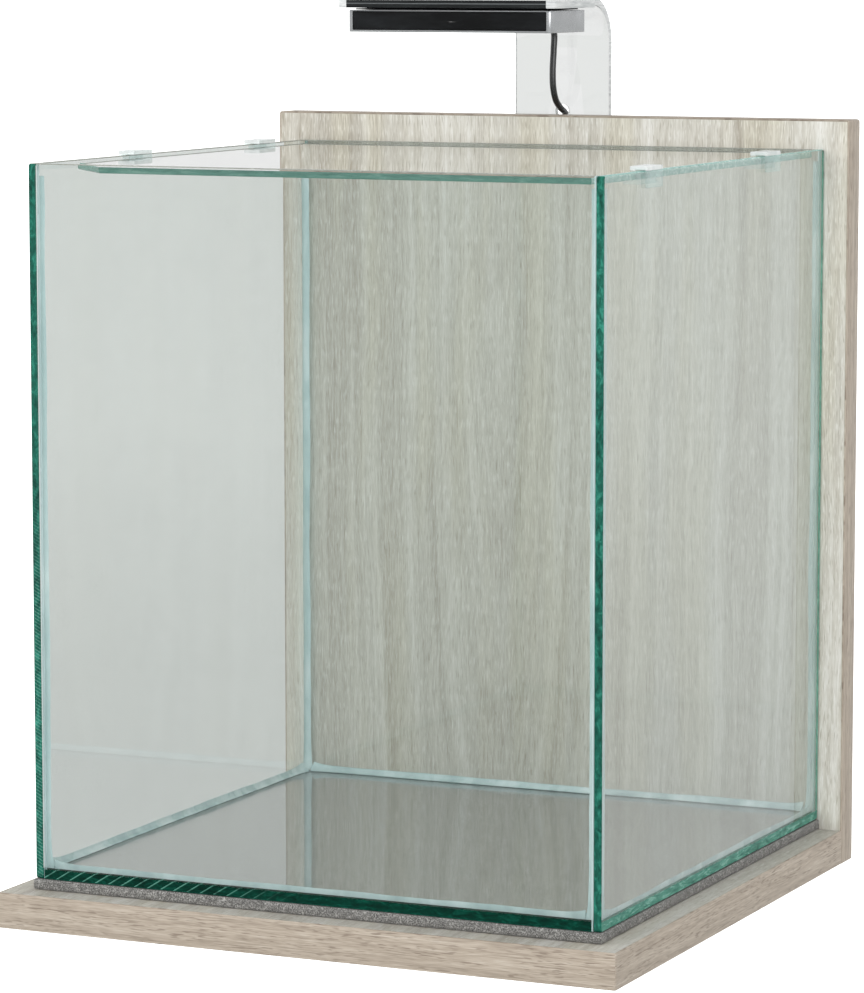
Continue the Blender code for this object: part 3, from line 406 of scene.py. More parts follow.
def frosted_lens():
    t = Tree("frosted_lens")
    rib = t.add("ShaderNodeTexWave", {"bands_direction": "X"}, Vector=t.coordinates, Scale=160.0).outputs[1]
    colour = t.mix(rib, srgb(236, 240, 243), srgb(224, 230, 235))
    t.set(Base_Color=colour, Roughness=t.between(rib, 0, 1, 0.2, 0.34), IOR=1.49, Transmission_Weight=0.85)
    return t.bump(rib, 0.0003, 0.5).material


def circuit_board():
    """White solder mask with yellow LED chips, which are what stands below the board's face."""
    t = Tree("white_circuit_board")
    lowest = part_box("led_board")[0].z
    chip = t.between(t.xyz["Z"], lowest + 0.0006, lowest + 0.0004)
    mask = t.ramp(t.noise(t.coordinates, 700.0, 2.0), (0.3, (222, 223, 220)), (0.7, (238, 239, 237)))
    phosphor = t.ramp(t.noise(t.coordinates, 2600.0, 2.0), (0.3, (226, 200, 92)), (0.7, (244, 226, 130)))
    t.set(Base_Color=t.mix(chip, mask, phosphor), Roughness=t.between(chip, 0, 1, 0.45, 0.25))
    return t.material


def woven_strap():
    t = Tree("hook_strap")
    loop = t.cells(t.coordinates, 1900.0)
    shade = t.ramp(loop, (0.1, (70, 70, 72)), (0.6, (34, 34, 36)))
    t.set(Base_Color=shade, Roughness=0.9, Sheen_Weight=0.5, Sheen_Roughness=0.4)
    return t.bump(loop, 0.0004).material


def cord_sheath():
    t = Tree("cord_sheath")
    fine = t.noise(t.coordinates, 2100.0, 2.0)
    rub = t.noise(t.coordinates, 70.0, 3.0)
    t.set(Base_Color=t.mix(t.between(rub, 0.4, 0.7), srgb(20, 21, 22), srgb(38, 39, 40)),
          Roughness=t.between(fine, 0.3, 0.7, 0.24, 0.34), Specular_IOR_Level=0.6)
    return t.bump(fine, 0.00002, 0.3).material


GREENS = (10, 62, 52), (26, 98, 82), (52, 142, 122)
MILKY_BLUES = (186, 214, 216), (205, 226, 227), (228, 240, 240)
CLEAR_TO_LIGHT = (0.94, 0.95, 0.945)
panel_laminate = laminate("panel_laminate", "Z", "X", heart=-0.03, tip=0.36)
# The base board is the panel's oak print darkened to 0.88, as painted shade.
base_laminate_painted_shade = laminate("base_laminate_painted_shade", "Y", "X", heart=0.30, tip=0.0, shade=0.88)
band_along_x = edge_band("edge_band_x", "X", "Z")
band_along_y = edge_band("edge_band_y", "Y", "Z")
band_along_z = edge_band("edge_band_z", "Z", "Y")
# The panel's top band is the same banding darkened to 0.92: painted shade on the face that looks up.
top_band_painted_shade = edge_band("edge_band_top_painted_shade", "X", "Y", shade=0.92)
grey_foam = foam()
pane_glass = float_glass("pane_glass", (0.875, 0.898, 0.888), CLEAR_TO_LIGHT)
lid_glass = float_glass("lid_glass", (0.95, 0.97, 0.96), CLEAR_TO_LIGHT)
pane_edge = cut_edge("pane_edge", GREENS, (420, 420, 210))
hatched_edge = cut_edge("hatched_edge", GREENS, (420, 420, 210),
                        hatch=(("Z", "X", 0.5), 0.0017, 0.4, ("Z", 0.24, 0.16)))
pane_top = cut_edge("pane_top", ((132, 136, 128), (150, 154, 145), (168, 171, 162)), (420, 420, 420))
teal_top = cut_edge("teal_top", ((120, 168, 158), (146, 190, 181), (196, 222, 216)), (240, 240, 420))
floor_pane_front = cut_edge("floor_pane_front", ((0, 34, 26), (0, 54, 42), (4, 78, 62)), (160, 160, 420),
                            hatch=(("X", "Z", -1.6), 0.0072, 0.2, ("X", 0.0, -0.07)), gloss=0.06,
                            streaks=srgb(110, 176, 158))
floor_pane_side = cut_edge("floor_pane_side", ((24, 98, 82), (70, 142, 124), (132, 188, 172)),
                           (160, 90, 420))
rear_edge = cut_edge("rear_edge", ((30, 118, 98), (66, 150, 128), (130, 198, 178)), (420, 420, 260))
lid_edge = cut_edge("lid_edge", ((58, 118, 104), (82, 140, 126), (120, 164, 150)), (70, 140, 500))
bonded_edge = milky("bonded_edge", 0.8, MILKY_BLUES)
clear_silicone = milky("clear_silicone", 0.62, MILKY_BLUES)
# The clips are clear plastic made milky white above the pane's top, which paints in their highlights; below
# it they are mostly clear.
clip_plastic = milky("clip_plastic", 0.72, ((226, 229, 229), (240, 242, 242), (250, 251, 251)), 1.49,
                     clear_below=(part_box("left_pane")[1].z, 0.2))
lid_rim = milky("lid_rim", 0.3, ((176, 190, 184), (200, 211, 206), (222, 229, 226)), 1.5)
acrylic = clear_plastic("clear_acrylic", (0.92, 0.93, 0.925), 1.49, 0.0, (0.95, 0.955, 0.955))
arm_edge = cut_edge("arm_edge", ((192, 195, 196), (218, 220, 220), (240, 241, 241)), (60, 60, 700))
arm_front = edge_with_painted_tape_reflection("arm_front_edge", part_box("lamp_arm")[1].z - ARM_THICKNESS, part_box("lamp_arm")[1].z)
silver = brushed_metal("lamp_silver", srgb(178, 180, 182), 0.24, (30, 500, 500), metallic=0.9)
steel = brushed_metal("zinc_steel", srgb(196, 196, 198), 0.28, (700, 700, 700))
pin_nickel = brushed_metal("pin_nickel", srgb(214, 212, 206), 0.18, (60, 900, 900))
lamp_black = gloss_black()
tape_black = moulded("foam_tape", srgb(24, 24, 25), 0.85, 900.0, 0.0003, 0.0)
lens = frosted_lens()
board_white = circuit_board()
nylon = moulded("white_nylon", srgb(226, 226, 220), 0.42)
black_rubber = moulded("black_rubber", srgb(26, 26, 27), 0.5)
supply_shell = moulded("supply_shell", srgb(27, 27, 29), 0.34, 2600.0, 0.00006)
black_felt = felt("black_felt", srgb(40, 40, 41))
dowel_beech = beech()
strap = woven_strap()
sheath = cord_sheath()

# ---- mesh helpers


def object_from(name, shape, materials=()):
    """Turns a bmesh in the row frame into an object."""
    bmesh.ops.recalc_face_normals(shape, faces=shape.faces[:])
    mesh = bpy.data.meshes.new(name)
    shape.to_mesh(mesh)
    shape.free()
    for material in materials:
        mesh.materials.append(material)
    return link(bpy.data.objects.new(name, mesh))


def smooth_below(mesh, angle):
    """Shades a mesh smooth, but for its edges sharper than the angle in degrees."""
    mesh.shade_smooth()
    mesh.set_sharp_from_angle(angle=math.radians(angle))


def finish_mesh(name, shape, materials, body, replaced=(), smooth=30):
    """Turns a bmesh into a piece that rides on a body and stands for CAD nodes."""
    piece = object_from(name, shape, materials)
    smooth_below(piece.data, smooth)
    return join_body(piece, body, replaced)


def join_body(piece, body, replaced=()):
    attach(piece, body)
    if replaced:
        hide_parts(*replaced)
    return piece


def paint(node, material):
    """Gives a CAD node its finished material."""
    mesh = nodes[node].data
    mesh.materials.clear()
    mesh.materials.append(material)


def soften(node, width, segments=3):
    """Rounds the edges of a CAD node, whose faces come apart at their edges."""
    weld = nodes[node].modifiers.new("weld", "WELD")
    weld.merge_threshold = 0.00001
    bevel = nodes[node].modifiers.new("soft_edges", "BEVEL")
    bevel.width = width
    bevel.segments = segments
    bevel.limit_method = "ANGLE"
    bevel.angle_limit = math.radians(40)
    bevel.harden_normals = True


def skin(shape, rows, capped=True):
    """Faces between rows of as many vertices each, right round, with the two ends closed."""
    faces = []
    for under, over in zip(rows, rows[1:]):
        for index in range(len(under)):
            after = (index + 1) % len(under)
            faces.append(shape.faces.new((under[index], under[after], over[after], over[index])))
    if capped:
        shape.faces.new(rows[0])
        shape.faces.new(rows[-1])
    return faces


def across_from(axis, first, second, along):
    """A point's three coordinates from the two across an axis and the one along it."""
    spot = [first, second]
    spot.insert(AXES[axis], along)
    return spot


def cuboid(low, high):
    shape = bmesh.new()
    bmesh.ops.create_cube(shape, size=1.0)
    size = Vector(high) - Vector(low)
    bmesh.ops.scale(shape, verts=shape.verts[:], vec=size)
    bmesh.ops.translate(shape, verts=shape.verts[:], vec=(Vector(low) + Vector(high)) / 2)
    return shape


def rounded_box(low, high, width, segments=3):
    shape = cuboid(low, high)
    bmesh.ops.bevel(shape, geom=shape.edges[:], offset=width, segments=segments, profile=0.5,
                    affect="EDGES", clamp_overlap=True)
    return shape


def ring_outline(half_x, half_y, radius, steps=8):
    """A rectangle about (0, 0) with round corners, counter-clockwise."""
    points = []
    for quarter, (sx, sy) in enumerate(((1, 1), (-1, 1), (-1, -1), (1, -1))):
        for step in range(steps + 1):
            turn = math.radians(90) * (quarter + step / steps)
            points.append(Vector((sx * (half_x - radius) + radius * math.cos(turn),
                                  sy * (half_y - radius) + radius * math.sin(turn))))
    return points


def outline_of(node, axis):
    """The convex outline of a CAD prism across `axis`, counter-clockwise, with where it starts and ends."""
    first, second = [AXES[name] for name in "XYZ" if name != axis]
    along = AXES[axis]
    low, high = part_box(node)
    corners = {
        (round(v.co[first], 6), round(v.co[second], 6)) for v in nodes[node].data.vertices
        if abs(v.co[along] - low[along]) < 0.00001
    }
    middle = sum((Vector(corner) for corner in corners), Vector((0, 0))) / len(corners)
    corners = sorted(corners, key=lambda c: math.atan2(c[1] - middle.y, c[0] - middle.x))
    return [Vector(corner) for corner in corners], low[along], high[along]


def inset(outline, distance):
    """A convex counter-clockwise outline moved inwards, corner by corner."""
    moved = []
    for index, corner in enumerate(outline):
        before = (corner - outline[index - 1]).normalized()
        after = (outline[(index + 1) % len(outline)] - corner).normalized()
        half = (Vector((-before.y, before.x)) + Vector((-after.y, after.x))) / 2
        moved.append(corner + half * distance / max(half.length_squared, 0.2))
    return moved


def glass_plate(name, node, axis, face, edges, body, chamfer=0.0004, foot=None):
    """A pane with ground, chamfered edges. `edges` gives the material of the edges that face each way.

    `foot` is the material of the foot of its outer face, where the floor pane's edge shows through it.
    """
    outline, low, high = outline_of(node, axis)
    materials = [face]
    shape = bmesh.new()
    small = inset(outline, chamfer)
    rings = ((small, low), (outline, low + chamfer), (outline, high - chamfer), (small, high))
    rows = [[shape.verts.new(across_from(axis, *point, place)) for point in ring] for ring, place in rings]
    for number, side in enumerate(skin(shape, rows)):
        corner = number % len(outline)
        run = outline[(corner + 1) % len(outline)] - outline[corner]
        facing = across_from(axis, *Vector((run.y, -run.x)).normalized(), 0.0)
        way = max(range(3), key=lambda i: abs(facing[i]))
        key = "-+"[facing[way] > 0] + "XYZ"[way] if abs(facing[way]) > 0.95 else "slant"
        material = edges.get(key, edges["other"])
        if material not in materials:
            materials.append(material)
        side.material_index = materials.index(material)
    if foot:
        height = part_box("bottom_pane")[1].z
        split_at(shape, (0, 0, height), (0, 0, 1))
        outer = low if abs(low) > abs(high) else high
        materials.append(foot)
        for side in shape.faces:
            flat = all(abs(vert.co[AXES[axis]] - outer) < 0.000001 for vert in side.verts)
            if flat and side.calc_center_median().z < height:
                side.material_index = len(materials) - 1
    return finish_mesh(name, shape, materials, body, [node], smooth=25)


def lathe(profile, base, direction, steps=40):
    """A profile of (radius, height) points, first and last on the axis, turned about `direction`."""
    along = Vector(direction).normalized()
    across = along.orthogonal().normalized()
    other = along.cross(across)
    shape = bmesh.new()
    rings = []
    for radius, height in profile:
        centre = Vector(base) + along * height
        if radius == 0:
            rings.append([shape.verts.new(centre)])
            continue
        turns = [2 * math.pi * step / steps for step in range(steps)]
        rings.append([shape.verts.new(centre + radius * (across * math.cos(a) + other * math.sin(a)))
                      for a in turns])
    for first, second in zip(rings, rings[1:]):
        for step in range(steps):
            after = (step + 1) % steps
            corners = [first[step % len(first)], first[after % len(first)]]
            corners += [second[after % len(second)], second[step % len(second)]]
            shape.faces.new(list(dict.fromkeys(corners)))
    return shape


def split_at(shape, place, normal):
    """Adds the edges where a plane crosses the shape."""
    bmesh.ops.bisect_plane(shape, geom=shape.verts[:] + shape.edges[:] + shape.faces[:], dist=0.0000001,
                           plane_co=place, plane_no=normal)


def round_sharp(shape, edges, width):
    """Rounds those of the edges that are sharper than 60 degrees."""
    sharp = [edge for edge in edges if edge.is_manifold and edge.calc_face_angle() > math.radians(60)]
    bmesh.ops.bevel(shape, geom=sharp, offset=width, segments=2, profile=0.5, affect="EDGES")


def carve(piece, cutters):
    """Cuts shapes out of a piece, and keeps the result as its mesh."""
    tools = []
    for number, shape in enumerate(cutters):
        tool = object_from(f"cutter_{number}", shape)
        boolean = piece.modifiers.new(tool.name, "BOOLEAN")
        boolean.operation = "DIFFERENCE"
        boolean.solver = "EXACT"
        boolean.object = tool
        tools.append(tool)
    bpy.context.view_layer.update()
    carved = bpy.data.meshes.new_from_object(piece.evaluated_get(bpy.context.evaluated_depsgraph_get()))
    piece.modifiers.clear()
    carved.name = piece.data.name
    piece.data = carved
    for tool in tools:
        bpy.data.objects.remove(tool, do_unlink=True)
    smooth_below(carved, 30)


def wobble(seed, *place):
    """Smooth noise from -1 to 1 that depends only on the place and the seed."""
    return noise.noise(Vector(place) + Vector((seed * 7.3, seed * 3.1, seed * 5.7)))


# ---- cord

CORD_DIAMETER = 0.0034
CORD_ROUTE = [
    (-0.0040, 0.0693, 0.4433), (-0.0040, 0.0780, 0.4433), (-0.0040, 0.0950, 0.4436),
    (-0.0040, 0.1150, 0.4442), (-0.0040, 0.1330, 0.4436), (-0.0040, 0.1455, 0.4405),
    (-0.0040, 0.1512, 0.4348), (-0.0040, 0.1508, 0.4260), (-0.0040, 0.1496, 0.4158),
    (-0.0040, 0.1502, 0.4065), (-0.0040, 0.1540, 0.3992), (-0.0040, 0.1605, 0.3950),
    (-0.0040, 0.1668, 0.3922), (-0.0040, 0.1713, 0.3875), (-0.0040, 0.1730, 0.3800),
    (-0.0040, 0.1728, 0.3600), (-0.0040, 0.1725, 0.3200), (-0.0040, 0.1724, 0.2600),
    (-0.0040, 0.1724, 0.1900), (-0.0040, 0.1724, 0.1200), (-0.0040, 0.1726, 0.0600),
    (-0.0044, 0.1731, 0.0340), (-0.0060, 0.1741, 0.0190), (-0.0095, 0.1757, 0.0090),
    (-0.0150, 0.1776, 0.0042), (-0.0220, 0.1794, 0.0026), (-0.0315, 0.1805, 0.0029),
]
TAIL_ROUTE = [
    (-0.0315, 0.2185, 0.0133), (-0.0245, 0.2182, 0.0120), (-0.0180, 0.2160, 0.0094),
    (-0.0120, 0.2120, 0.0070), (-0.0070, 0.2083, 0.0058), (-0.0030, 0.2071, 0.0055),
    (0.0002, 0.2070, 0.0055), (0.0066, 0.2070, 0.0055),
]
COIL_LAYERS = 4
COIL_WHOLE_TURNS = 7
COIL_PITCH = 0.0036
COIL_CROSSING = 0.12
COIL_RUN_IN = 0.11


def ease(share):
    share = min(1.0, max(0.0, share))
    return share * share * (3 - 2 * share)


def coil_points():
    """The turns of the coil, clockwise from above, two side by side in each layer, from the bottom up."""
    low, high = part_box("cord_coil")
    centre = (low + high) / 2
    middle = (high.x - low.x) / 2 - COIL_PITCH - 0.0001
    enter = Vector(CORD_ROUTE[-1])
    leave = Vector(TAIL_ROUTE[0])
    start = math.atan2(enter.y - centre.y, enter.x - centre.x)
    end = math.atan2(leave.y - centre.y, leave.x - centre.x)
    turns = COIL_WHOLE_TURNS + ((start - end) % (2 * math.pi)) / (2 * math.pi)
    per_layer = turns / COIL_LAYERS
    first_height = low.z + CORD_DIAMETER / 2
    step_height = (high.z - low.z - CORD_DIAMETER) / (COIL_LAYERS - 1)
    edge = (enter.xy - centre.xy).length
    points = []
    count = 40 * COIL_WHOLE_TURNS
    for step in range(1, count):
        turn = turns * step / count
        layer = min(COIL_LAYERS - 1, int(turn / per_layer))
        inside = turn - layer * per_layer
        crossing = ease((inside - per_layer / 2) / COIL_CROSSING + 0.5)
        if layer % 2:
            crossing = 1 - crossing
        radius = middle + COIL_PITCH * (0.5 - crossing)
        height = first_height + step_height * (layer + ease((inside - per_layer) / COIL_CROSSING + 1))
        ends = max(1 - turn / COIL_RUN_IN, 1 - (turns - turn) / COIL_RUN_IN)
        radius += (edge - radius) * ease(ends)
        if layer == COIL_LAYERS - 1:
            height = first_height + step_height * (COIL_LAYERS - 1)
        angle = start - 2 * math.pi * turn
        x = centre.x + radius * math.cos(angle)
        y = centre.y + radius * math.sin(angle)
        points.append(Vector((x, y, height)))
    return points


def smooth_path(route, steps):
    """A centripetal Catmull-Rom curve through the route, with `steps` points for each stretch."""
    points = [Vector(point) for point in route]
    points = [2 * points[0] - points[1], *points, 2 * points[-1] - points[-2]]
    fine = []
    for before, start, end, after in zip(points, points[1:], points[2:], points[3:]):
        k1 = (start - before).length ** 0.5
        k2 = k1 + (end - start).length ** 0.5
        k3 = k2 + (after - end).length ** 0.5
        for index in range(steps):
            k = k1 + (k2 - k1) * index / steps
            a1 = before.lerp(start, k / k1)
            a2 = start.lerp(end, (k - k1) / (k2 - k1))
            a3 = end.lerp(after, (k - k2) / (k3 - k2))
            fine.append(a1.lerp(a2, k / k2).lerp(a2.lerp(a3, (k - k1) / (k3 - k1)), (k - k1) / (k2 - k1)))
    fine.append(points[-2])
    return fine


def cord_gland():
    """The grommet in the lamp's rear wall, with a ribbed, tapered nose."""
    low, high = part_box("cord_gland")
    centre = Vector(((low.x + high.x) / 2, low.y, (low.z + high.z) / 2))
    flange = (high.x - low.x) / 2
    stem, nose = 0.0026, 0.0024
    length = high.y - low.y
    inner = 0.0019
    profile = [(0, 0), (stem, 0), (stem, inner), (flange - 0.0003, inner), (flange, inner + 0.0003),
               (flange, inner + 0.0015), (flange - 0.0006, inner + 0.002), (stem + 0.0004, inner + 0.0022)]
    ribs = 5
    start = inner + 0.0022
    for rib in range(ribs):
        share = rib / ribs
        pitch = (length - start) / ribs
        radius = stem + 0.0004 + (nose - stem) * share
        profile += [(radius, start + pitch * (rib + 0.25)), (radius, start + pitch * (rib + 0.65)),
                    (radius - 0.0004, start + pitch * (rib + 0.75)),
                    (radius - 0.0004, start + pitch * (rib + 0.98))]
    profile += [(nose - 0.0002, length), (0, length)]
    shape = lathe(profile, centre, (0, 1, 0))
    return finish_mesh("lamp_cord_gland", shape, [black_rubber], "stand", ["cord_gland"], 35)


def supply():
    """The plug-in power supply: a rounded shell with a parting line, its relief and its two pins."""
    low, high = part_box("supply_body")
    seam = (low.z + high.z) / 2
    shape = rounded_box(low, high, 0.003, 5)
    body = finish_mesh("supply_shell", shape, [supply_shell], "stand", ["supply_body"], 30)
    depth = 0.0004
    half = 0.0003
    groove = cuboid((low.x - 0.01, low.y - 0.01, seam - half), (high.x + 0.01, high.y + 0.01, seam + half))
    keep = ring_outline((high.x - low.x) / 2 - depth, (high.y - low.y) / 2 - depth, 0.0028)
    core = bmesh.new()
    middle = (low + high) / 2
    skin(core, [[core.verts.new((middle.x + p.x, middle.y + p.y, z)) for p in keep]
                for z in (seam - 0.002, seam + 0.002)])
    collar = object_from("groove_tool", groove)
    carve(collar, [core])
    tool = bmesh.new()
    tool.from_mesh(collar.data)
    bpy.data.objects.remove(collar, do_unlink=True)
    carve(body, [tool])

    low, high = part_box("supply_relief")
    y, z = (low.y + high.y) / 2, (low.z + high.z) / 2
    length = high.x - low.x
    wide, narrow = 0.0035, 0.0022
    profile = [(0, 0), (wide, 0), (wide, length * 0.2)]
    for rib in range(5):
        share = 0.25 + 0.15 * rib
        radius = wide + (narrow - wide) * (share - 0.2) / 0.8
        profile += [(radius, length * share), (radius, length * (share + 0.07)),
                    (radius - 0.0005, length * (share + 0.085)), (radius - 0.0005, length * (share + 0.135))]
    profile += [(narrow, length * 0.995), (0, length)]
    relief = finish_mesh("supply_cord_relief", lathe(profile, (high.x, y, z), (-1, 0, 0)), [black_rubber],
                         "stand", ["supply_relief"], 35)
    pins = []
    for end in ("front", "rear"):
        node = f"supply_pin_{end}"
        paint(node, pin_nickel)
        soften(node, 0.0006, 4)
        pins.append(nodes[node])
    return [body, relief, *pins]


def coil_strap():
    """A hook-and-loop strap round the coil."""
    low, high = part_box("coil_tie")
    centre = (low + high) / 2
    thick = 0.0008
    outer = ring_outline((high.x - low.x) / 2, (high.z - low.z) / 2, 0.0022, 6)
    inner = ring_outline((high.x - low.x) / 2 - thick, (high.z - low.z) / 2 - thick, 0.0022 - thick, 6)
    shape = bmesh.new()
    sides = []
    for y in (low.y, high.y):
        sides.append([[shape.verts.new((centre.x + p.x, y, centre.z + p.y)) for p in ring]
                      for ring in (outer, inner)])
    (front_out, front_in), (back_out, back_in) = sides
    for loops in ((front_out, back_out), (front_in, back_in), (front_out, front_in), (back_out, back_in)):
        skin(shape, loops, capped=False)
    bmesh.ops.recalc_face_normals(shape, faces=shape.faces[:])
    round_sharp(shape, shape.edges, 0.00015)
    return finish_mesh("coil_strap", shape, [strap], "stand", ["coil_tie"], 40)


def lamp_cord():
    gland = cord_gland()
    pieces = supply()
    tie = coil_strap()
    run = smooth_path(CORD_ROUTE, 8)
    tail = smooth_path(TAIL_ROUTE, 6)
    path = run + coil_points() + tail
    curve = bpy.data.curves.new("lamp_cord", "CURVE")
    curve.dimensions = "3D"
    curve.bevel_depth = CORD_DIAMETER / 2
    curve.bevel_resolution = 5
    curve.use_fill_caps = True
    spline = curve.splines.new("POLY")
    spline.points.add(len(path) - 1)
    for point, place in zip(spline.points, path):
        point.co = (*place, 1.0)
    spline.use_smooth = True
    curve.materials.append(sheath)
    piece = link(bpy.data.objects.new("lamp_cord", curve))
    join_body(piece, "stand", ["cord_run", "cord_coil", "cord_tail"])


lamp_cord()

# ---- stand


def boards():
    for node, material in (("base_board", base_laminate_painted_shade), ("back_panel", panel_laminate)):
        paint(node, material)


def wrapped_band(name, across, corners, radius, low, high, materials, replaced):
    """One strip of banding round an open outline with round corners, from `low` to `high` along an axis."""
    first, second = [AXES[letter] for letter in "XYZ" if letter != across]
    line = [Vector(corners[0])]
    for before, corner, after in zip(corners, corners[1:], corners[2:]):
        back = (Vector(before) - Vector(corner)).normalized()
        ahead = (Vector(after) - Vector(corner)).normalized()
        centre = Vector(corner) + (back + ahead) * radius
        for step in range(9):
            turn = math.radians(90) * step / 8
            line.append(centre - ahead * radius * math.cos(turn) - back * radius * math.sin(turn))
    line.append(Vector(corners[-1]))
    thick = EDGE_BAND + GAP
    soft = 0.0002
    proud = 0.00003
    section = [(thick, -proud), (soft, -proud), (soft * 0.3, soft * 0.3), (0, soft), (0, high - low - soft),
               (soft * 0.3, high - low - soft * 0.3), (soft, high - low + proud), (thick, high - low + proud)]
    shape = bmesh.new()
    rows = []
    for index, point in enumerate(line):
        before = line[max(0, index - 1)]
        after = line[min(len(line) - 1, index + 1)]
        run = (after - before).normalized()
        inwards = Vector((-run.y, run.x))
        rows.append([shape.verts.new(across_from(across, *(point + inwards * depth), low + height))
                     for depth, height in section])
    for number, face in enumerate(skin(shape, rows)):
        under = number // len(section)
        run = rows[under + 1][0].co - rows[under][0].co
        face.material_index = 0 if abs(run[first]) > abs(run[second]) else 1
    finish_mesh(name, shape, materials, "stand", replaced, 40)


def edge_bands():
    """Each board's bands as one strip, which reaches back over the glue line to its board."""
    left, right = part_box("base_edge_left"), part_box("base_edge_right")
    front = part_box("base_edge_front")
    corners = [(left[0].x, left[1].y), (left[0].x, front[0].y),
               (right[1].x, front[0].y), (right[1].x, right[1].y)]
    wrapped_band("base_banding", "Z", corners, 0.0013, front[0].z, front[1].z, [band_along_x, band_along_y],
                 ["base_edge_front", "base_edge_left", "base_edge_right"])
    left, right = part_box("panel_edge_left"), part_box("panel_edge_right")
    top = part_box("panel_edge_top")
    corners = [(right[1].x, right[0].z), (right[1].x, top[1].z),
               (left[0].x, top[1].z), (left[0].x, left[0].z)]
    wrapped_band("panel_banding", "Y", corners, 0.0015, top[0].y, top[1].y, [top_band_painted_shade, band_along_z],
                 ["panel_edge_left", "panel_edge_right", "panel_edge_top"])


def foam_mat():
    """A foam sheet whose cut rim is uneven."""
    low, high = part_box("foam_mat")
    step = 0.0011
    counts = [max(2, round((high[axis] - low[axis]) / step)) for axis in range(3)]
    rows = 5
    rim = []
    for side in range(4):
        axis, across = (0, 1) if side % 2 == 0 else (1, 0)
        for number in range(counts[axis]):
            share = number / counts[axis]
            share = share if side < 2 else 1 - share
            point = [0.0, 0.0]
            point[axis] = low[axis] + (high[axis] - low[axis]) * share
            point[across] = (low[1], high[0], high[1], low[0])[side]
            rim.append((Vector(point), ((0, -1), (1, 0), (0, 1), (-1, 0))[side]))
    shape = bmesh.new()
    layers = []
    for row in range(rows + 1):
        height = low.z + (high.z - low.z) * row / rows
        round_off = 0.0006 * (abs(2 * row / rows - 1) ** 6)
        layer = []
        for point, out in rim:
            rough = 0.00032 * wobble(1, point.x * 420, point.y * 420, height * 420)
            rough += 0.00022 * wobble(2, point.x * 900, point.y * 900, height * 900)
            push = rough - round_off - 0.0002
            layer.append(shape.verts.new((point.x + out[0] * push, point.y + out[1] * push, height)))
        layers.append(layer)
    skin(shape, layers)
    mat = finish_mesh("tank_mat", shape, [grey_foam], "stand", ["foam_mat"], 50)


def screw_head(name, node, direction, countersunk):
    """A screw with a cross recess, its head at the start of `direction`, standing for a CAD screw."""
    low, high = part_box(node)
    along = Vector(direction)
    middle = (low + high) / 2
    axis = max(range(3), key=lambda i: abs(along[i]))
    start = middle.copy()
    start[axis] = low[axis] if along[axis] > 0 else high[axis]
    across = (axis + 2) % 3
    head = (high[across] - low[across]) / 2
    length = high[axis] - low[axis]
    if countersunk:
        head_length, shank = head * 0.7, head * 0.58
        profile = [(0, 0), (head * 0.96, 0), (head, head * 0.06), (head * 0.97, head * 0.14)]
        profile += [(shank, head_length)]
    else:
        head_length, shank = head * 0.6, head * 0.48
        profile = [(0, 0), (head * 0.45, head * 0.03), (head * 0.78, head * 0.14), (head * 0.95, head * 0.32),
                   (head, head * 0.5), (head, head_length), (shank, head_length)]
    pitch = shank * 0.7
    threads = max(1, int((length - head_length - 2 * pitch) / pitch))
    for turn in range(threads):
        place = head_length + pitch * (turn + 0.5)
        profile += [(shank * 0.78, place), (shank * 0.98, place + pitch * 0.4),
                    (shank * 0.78, place + pitch * 0.8)]
    profile += [(shank * 0.6, length - pitch), (0, length)]
    screw = finish_mesh(name, lathe(profile, start, direction, 32), [steel], "stand", [node], 35)
    cutters = []
    arm, wide, deep = head * 0.55, head * 0.13, head * 0.34
    for turned in (0, 1):
        reach = [wide, wide, wide]
        reach[(axis + 1 + turned) % 3] = arm
        reach[axis] = deep
        cutters.append(cuboid(start - Vector(reach), start + Vector(reach)))
    carve(screw, cutters)


def stand_fasteners():
    for number in (1, 2, 3):
        screw_head(f"base_screw_{number}", f"stand_screw_{number}", (0, -1, 0), countersunk=True)
    for side in ("left", "right"):
        screw_head(f"arm_fixing_{side}", f"arm_screw_{side}", (0, -1, 0), countersunk=False)
        paint(f"arm_washer_{side}", nylon)
        soften(f"arm_washer_{side}", 0.0002, 2)
        paint(f"stand_dowel_{side}", dowel_beech)
        paint(f"board_screw_{side}", steel)
        for row in ("front", "rear"):
            paint(f"foot_{row}_{side}", black_felt)


boards()
edge_bands()
foam_mat()
stand_fasteners()

# ---- tank


def panes():
    hatched = {"-Y": hatched_edge, "+Z": pane_top, "+Y": rear_edge, "other": pane_edge}
    glass_plate("left_glass", "left_pane", "X", pane_glass, hatched, "tank", foot=floor_pane_side)
    plain = {"+Z": teal_top, "+Y": rear_edge, "other": pane_edge}
    glass_plate("right_glass", "right_pane", "X", pane_glass, plain, "tank", foot=floor_pane_side)
    between = {"-X": bonded_edge, "+X": bonded_edge, "+Z": pane_top, "other": pane_edge}
    glass_plate("front_glass", "front_pane", "Y", pane_glass, between, "tank", foot=floor_pane_front)
    glass_plate("rear_glass", "rear_pane", "Y", pane_glass, between, "tank")
    floor = {"-X": floor_pane_side, "+X": floor_pane_side, "other": floor_pane_front}
    glass_plate("floor_glass", "bottom_pane", "Z", pane_glass, floor, "tank")
    lid = {"-Y": lid_edge, "+X": teal_top, "slant": lid_edge, "other": lid_rim}
    glass_plate("lid_glass", "cover_glass", "Z", lid_glass, lid, "cover", chamfer=0.0005)


